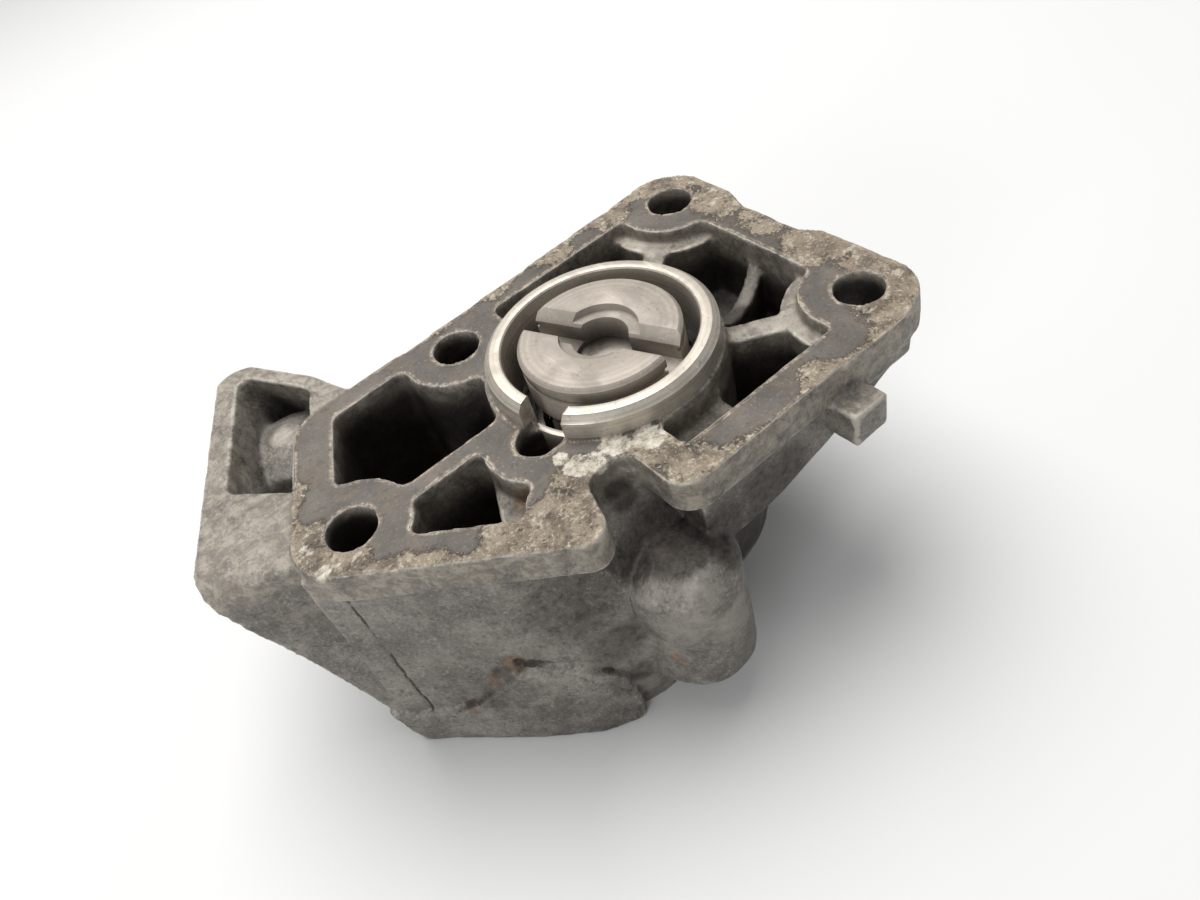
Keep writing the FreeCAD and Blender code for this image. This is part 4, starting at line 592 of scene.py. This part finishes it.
def border_distance(points, face, edges, count):
    """The distance of the machined face's points from its edges."""
    border = face & (neighbour_mean(face.astype(float), edges, count) < 0.99)
    tree = KDTree(int(border.sum()))
    for k, place in enumerate(points[border]):
        tree.insert(place, k)
    tree.balance()
    rim = np.full(count, 9.0)
    for k in np.nonzero(face)[0]:
        rim[k] = tree.find(points[k])[2]
    return rim


def tuck_under_ring(points, radius):
    """Draw the spigot's stretch in behind the crisp ring that covers it."""
    ring = (radius > RING_INNER - 0.6) & (radius < RING_OUTER + 0.45) & (points[:, 2] > 0.02)
    inner = (radius < RING_INNER + 0.5) & (radius > RING_INNER - 0.6)
    inner &= points[:, 2] > RING_FLOOR + 0.3
    target = np.where(ring, RING_CORE + 0.4, np.where(inner, RING_INNER + 0.5, radius))
    away = target / np.maximum(radius, 1e-6)
    points[:, 0] *= away
    points[:, 1] *= away
    points[ring, 2] = np.minimum(points[ring, 2], RING_TOP - 0.6)


def cavity_dirt_and_shade(points):
    """How dark the insides of the cavities and holes are painted: oil film and painted shade."""
    depth = -points[:, 2]
    coolant, relief, oil = cavities(points)
    return np.maximum.reduce([
        coolant * ramp(depth, 0.5, 6),
        relief * ramp(depth, 2, 12) * 0.85,
        oil * ramp(depth, 3.5, 10),
        holes(points),
    ])


def make_casting(material):
    obj = voxel_copy("housing", "casting_skin", material)
    mesh = obj.data
    count = len(mesh.vertices)
    edges = edge_pairs(mesh)
    points = relaxed(coordinates(mesh) / MM, edges, count, 3, 0.5)
    set_points(mesh, points)
    normals = vertex_normals(mesh)
    radius = np.hypot(points[:, 0], points[:, 1])
    face = (np.abs(points[:, 2]) < 0.22) & (normals[:, 2] > 0.86) & (radius > RING_OUTER - 0.3)
    points[face, 2] = 0.0
    face_value = face.astype(float)
    # Broad shape round each point, for wear on crests and for dirt and painted shade in hollows
    near = relaxed(points, edges, count, 14, 0.6)
    wide = relaxed(near, edges, count, 60, 0.6)
    crest = np.einsum("ij,ij->i", points - near, normals)
    hollow = -np.einsum("ij,ij->i", points - wide, normals)
    # Rough cast skin
    cast = 1.0 - relaxed(face_value, edges, count, 2)
    cast[machined_points(points, radius)] = 0.0
    shifts = [layered(points, 2.2, seed, 2) for seed in (61, 67, 71)]
    ragged = points + 0.35 * np.stack(shifts, axis=1)
    points += normals * (cast * cast_relief(points, ragged))[:, None]
    rim = border_distance(points, face, edges, count)
    # Stains with painted shade and highlights among them, and pits and chips in the corroded stretches
    # of the face
    marks = {kind: spread(points, rows) for kind, rows in STAINS_AND_PAINTED_LIGHT.items()}
    marks["seam"] = seam_marks(ragged)
    pits = marks["sand"] * ramp(layered(points, 1.4, 31, 2), 0.1, 0.7) * 0.2
    chips = ramp(-rim, -0.8, 0.0) * ramp(layered(points, 2.4, 47, 2), 0.05, 0.6) * 0.4
    points[:, 2] -= np.where(face, pits + chips, 0.0)
    marks["side"] = ramp(points[:, 2], -7.6, -6.4) * (1 - face_value)
    tuck_under_ring(points, radius)
    marks["deep"] = cavity_dirt_and_shade(points)
    marks["edge"] = np.min([edge_distance(points, edge) for edge in EDGES], axis=0)
    marks["face"] = relaxed(face_value, edges, count, 1)
    marks["rim"] = rim
    marks["crest"] = np.clip(crest / 0.35, 0, 1)
    marks["hollow"] = np.clip(hollow / 2.2, 0, 1)
    for kind, values in marks.items():
        store(mesh, kind, values)
    set_points(mesh, points)
    smooth_faces(mesh)
    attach(obj, "casting")
    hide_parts("housing")


def edge_distance(points, edge):
    """The distance of each point inside one straight edge of the flange."""
    x, y, reach = edge
    return reach - x * points[:, 0] - y * points[:, 1]


def spread(points, rows):
    """How strongly a kind of stain, painted shade or painted highlight reaches each point."""
    total = np.zeros(len(points))
    for x, y, z, reach, strength in rows:
        away = np.sqrt(((points - (x, y, z)) ** 2).sum(1)) / reach
        total = np.maximum(total, strength * (1 - ramp(away, 0.35, 1.3)))
    return total


def line_distance(points, line):
    """The distance of each point from a line of straight runs."""
    nearest = np.full(len(points), 99.0)
    for start, end in zip(np.array(line[:-1]), np.array(line[1:])):
        run = end - start
        along = np.clip((points - start) @ run / (run @ run), 0, 1)
        away = np.sqrt(((points - start - along[:, None] * run) ** 2).sum(1))
        nearest = np.minimum(nearest, away)
    return nearest


def below_lip(points):
    """1 on the near wall's foot, under the lip's sloping top."""
    turn = math.radians(LIP_TURN)
    along = points[:, 0] * math.cos(turn) + points[:, 1] * math.sin(turn)
    outward = points[:, 0] * DIAGONAL[0] + points[:, 1] * DIAGONAL[1]
    top = np.interp(along, *zip(*LIP_TOP))
    return ramp(top - points[:, 2], -0.2, 0.5) * (outward > LIP_FROM_BORE) * (points[:, 0] < LIP_END_X)


def holes(points):
    """1 inside the bolt holes and the drain hole."""
    total = np.zeros(len(points))
    for place, radius in [(bolt, BOLT_RADIUS + 0.4) for bolt in BOLTS] + [(DRAIN, DRAIN_RADIUS + 0.4)]:
        away = np.hypot(points[:, 0] - place[0], points[:, 1] - place[1])
        total = np.maximum(total, (away < radius) * ramp(-points[:, 2], 0.5, 3.0))
    return total


def seam_marks(points):
    """How dark the cracks and seams are."""
    total = np.zeros(len(points))
    for line, width, _ in SEAMS:
        total = np.maximum(total, 1 - ramp(line_distance(points, line), 0.3 * width, 2.0 * width))
    return total


def within(x, y, box):
    """Whether each place is inside a box of x and y limits."""
    return (x > box[0]) & (x < box[1]) & (y > box[2]) & (y < box[3])


def cavities(points):
    """Whether each point is in the coolant cavity, the small left cavity or the oil cavity."""
    x, y, z = points.T
    below = (z < -0.4) & (z > CAVITY_FLOOR)
    radius = np.hypot(x, y)
    sides = (LEFT_EDGE, DIAGONAL, (0.0, 1.0, 36.0))
    inset = np.min([edge_distance(points, edge) for edge in sides], axis=0)
    bolts = np.min([np.hypot(x - a, y - b) for a, b in BOLTS], axis=0) > BOSS_REACH
    drain = np.hypot(x - DRAIN[0], y - DRAIN[1]) > DRAIN_BOSS_REACH
    coolant = below & bolts & (radius > COOLANT_RING) & (inset > COOLANT_INSET)
    coolant &= within(x, y, COOLANT_BOX)
    relief = below & bolts & drain & (inset > RELIEF_INSET) & within(x, y, RELIEF_BOX)
    oil = below & (radius > RING_OUTER + 0.6) & within(x, y, OIL_BOX)
    return coolant.astype(float), relief.astype(float), oil.astype(float)


def make_ring(material):
    """The machined spigot with its drain slot."""
    steps = 288
    chamfer = 0.25
    profile = [
        (RING_INNER, RING_FLOOR),
        (RING_INNER, RING_TOP - chamfer),
        (RING_INNER + chamfer, RING_TOP),
        (RING_OUTER - RING_LEAD, RING_TOP),
        (RING_OUTER, RING_TOP - RING_LEAD),
        (RING_OUTER, -0.4),
        (RING_CORE, -0.4),
        (RING_CORE, RING_FLOOR),
    ]
    verts = []
    faces = []
    turns = len(profile)
    for k in range(steps):
        angle = 2 * math.pi * k / steps
        for r, z in profile:
            verts.append((r * math.cos(angle), r * math.sin(angle), z))
    for k in range(steps):
        nxt = (k + 1) % steps
        for j in range(turns):
            up = (j + 1) % turns
            faces.append((k * turns + j, nxt * turns + j, nxt * turns + up, k * turns + up))
    ring = piece_from("spigot_ring", verts, faces, "casting", material)
    flip_outwards(ring.data)
    direction = Vector((math.cos(math.radians(SLOT_ANGLE)), math.sin(math.radians(SLOT_ANGLE)), 0))
    side = Vector((-direction.y, direction.x, 0)) * SLOT_WIDTH / 2
    box = []
    for z in (-SLOT_DEPTH, RING_TOP + 2):
        for along, across in ((14, -1), (25, -1), (25, 1), (14, 1)):
            point = direction * along + side * across
            box.append((point.x, point.y, z))
    cutter_mesh = bpy.data.meshes.new("cutter")
    sides = [(3, 2, 1, 0), (4, 5, 6, 7), (0, 1, 5, 4), (1, 2, 6, 5), (2, 3, 7, 6), (3, 0, 4, 7)]
    cutter_mesh.from_pydata([tuple(MM * c for c in v) for v in box], [], sides)
    cutter = linked("cutter", cutter_mesh)
    cut = ring.modifiers.new("slot", "BOOLEAN")
    cut.operation = "DIFFERENCE"
    cut.solver = "EXACT"
    cut.object = cutter
    broken_edges(ring, 35)
    bpy.data.objects.remove(cutter)
    shade_by_angle(ring.data, 32)


def flip_outwards(mesh):
    """Turn every face to the outside."""
    work = bmesh.new()
    work.from_mesh(mesh)
    bmesh.ops.recalc_face_normals(work, faces=work.faces)
    work.to_mesh(mesh)
    work.free()


def shade_by_angle(mesh, angle):
    smooth_faces(mesh)
    mesh.set_sharp_from_angle(angle=math.radians(angle))


def broken_edges(obj, angle):
    """Break all edges sharper than an angle."""
    bevel = obj.modifiers.new("edges", "BEVEL")
    bevel.width = EDGE_BREAK * MM
    bevel.segments = 2
    bevel.limit_method = "ANGLE"
    bevel.angle_limit = math.radians(angle)
    applied(obj)


def make_disc(material):
    """A crisp copy of the coupling with dirt and painted shade in its slot and recess."""
    disc = linked("coupling_disc", frame["nodes"]["drive_coupling"].data.copy())
    work = bmesh.new()
    work.from_mesh(disc.data)
    bmesh.ops.remove_doubles(work, verts=work.verts, dist=1e-6)
    bmesh.ops.dissolve_limit(work, angle_limit=math.radians(1.0), verts=work.verts, edges=work.edges)
    bmesh.ops.recalc_face_normals(work, faces=work.faces)
    work.to_mesh(disc.data)
    work.free()
    disc.data.materials.clear()
    disc.data.materials.append(material)
    broken_edges(disc, 32)
    shade_by_angle(disc.data, 30)
    points = coordinates(disc.data) / MM
    inside = np.hypot(points[:, 0], points[:, 1]) < DISC_RADIUS - 0.8
    store(disc.data, "sunk", ramp(DISC_TOP - points[:, 2], 0.4, 3.5) * inside)
    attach(disc, "shaft")
    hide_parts("drive_coupling")


# Floor, light and camera, in metres and watts; the camera's own values are in millimetres
FLOOR_SIZE = 3.0
FLOOR_COLOR = (206, 206, 205)
SKY_COLOR = (0.98, 0.99, 1.0, 1)
SKY_STRENGTH = 0.42
LAMPS = [
    {"name": "overhead", "place": (0.05, 0.3, 0.75), "target": (0, 0, -0.02), "size": 0.8,
     "power": 10.5, "color": (1.0, 0.99, 0.975)},
    {"name": "left", "place": (-0.85, -0.45, 0.3), "target": (-0.02, 0, -0.02), "size": 0.45,
     "power": 4.2, "color": (0.98, 0.99, 1.0)},
]
SENSOR_WIDTH = 36.0
LENS = 27.77
CAMERA_PLACE = (-60.68, -112.83, 106.66)
CAMERA_RIGHT = (0.7558, -0.6143, -0.2267)
CAMERA_VIEW = (0.3003, 0.6328, -0.7137)


def make_stage():
    mesh = bpy.data.meshes.new("floor")
    corners = [(-1, -1), (1, -1), (1, 1), (-1, 1)]
    verts = [(x * FLOOR_SIZE, y * FLOOR_SIZE, FLOOR) for x, y in corners]
    mesh.from_pydata(verts, [], [(0, 1, 2, 3)])
    floor = linked("floor", mesh)
    material = bpy.data.materials.new("floor")
    material.use_nodes = True
    surface = material.node_tree.nodes["Principled BSDF"]
    surface.inputs["Base Color"].default_value = (*srgb(*FLOOR_COLOR), 1)
    surface.inputs["Roughness"].default_value = 0.9
    mesh.materials.append(material)
    world = bpy.data.worlds.new("studio")
    world.use_nodes = True
    sky = world.node_tree.nodes["Background"]
    sky.inputs["Color"].default_value = SKY_COLOR
    sky.inputs["Strength"].default_value = SKY_STRENGTH
    bpy.context.scene.world = world
    for values in LAMPS:
        lamp(**values)


def lamp(name, place, target, size, power, color):
    data = bpy.data.lights.new(name, "AREA")
    data.shape = "DISK"
    data.size = size
    data.energy = power
    data.color = color
    light = bpy.data.objects.new(name, data)
    bpy.context.scene.collection.objects.link(light)
    light.location = place
    light.rotation_mode = "QUATERNION"
    light.rotation_quaternion = (Vector(target) - Vector(place)).to_track_quat("-Z", "Y")


def make_camera():
    data = bpy.data.cameras.new("camera")
    data.sensor_width = SENSOR_WIDTH
    data.lens = LENS
    data.clip_start = 0.01
    data.clip_end = 20
    camera = bpy.data.objects.new("camera", data)
    bpy.context.scene.collection.objects.link(camera)
    right = Vector(CAMERA_RIGHT).normalized()
    back = -Vector(CAMERA_VIEW).normalized()
    up = back.cross(right).normalized()
    right = up.cross(back).normalized()
    turn = Matrix((right, up, back)).transposed().to_4x4()
    camera.matrix_world = Matrix.Translation(Vector(CAMERA_PLACE) * MM) @ turn
    bpy.context.scene.camera = camera


def dress_nodes():
    """Give every CAD node the material of its slot."""
    chosen = {
        "turned_steel": turned_material("shaft_steel"),
        "spring_steel": spring_material(),
        "bearing_steel": turned_material("bearing_steel"),
        "ball_steel": turned_material("ball_steel"),
        "cage_steel": sheet_material(),
        "seal_rubber": rubber_material(),
    }
    slots = {s["node"]: s["material_slot"] for s in frame["record"]["subparts"]}
    for name, node in frame["nodes"].items():
        if slots[name] in chosen:
            node.data.materials.clear()
            node.data.materials.append(chosen[slots[name]])


def main():
    scene = bpy.context.scene
    scene.view_settings.view_transform = "Standard"
    make_camera()
    make_stage()
    make_casting(casting_material())
    make_ring(turned_material("machined_ring"))
    dress_nodes()
    make_disc(turned_material("coupling_steel"))


main()
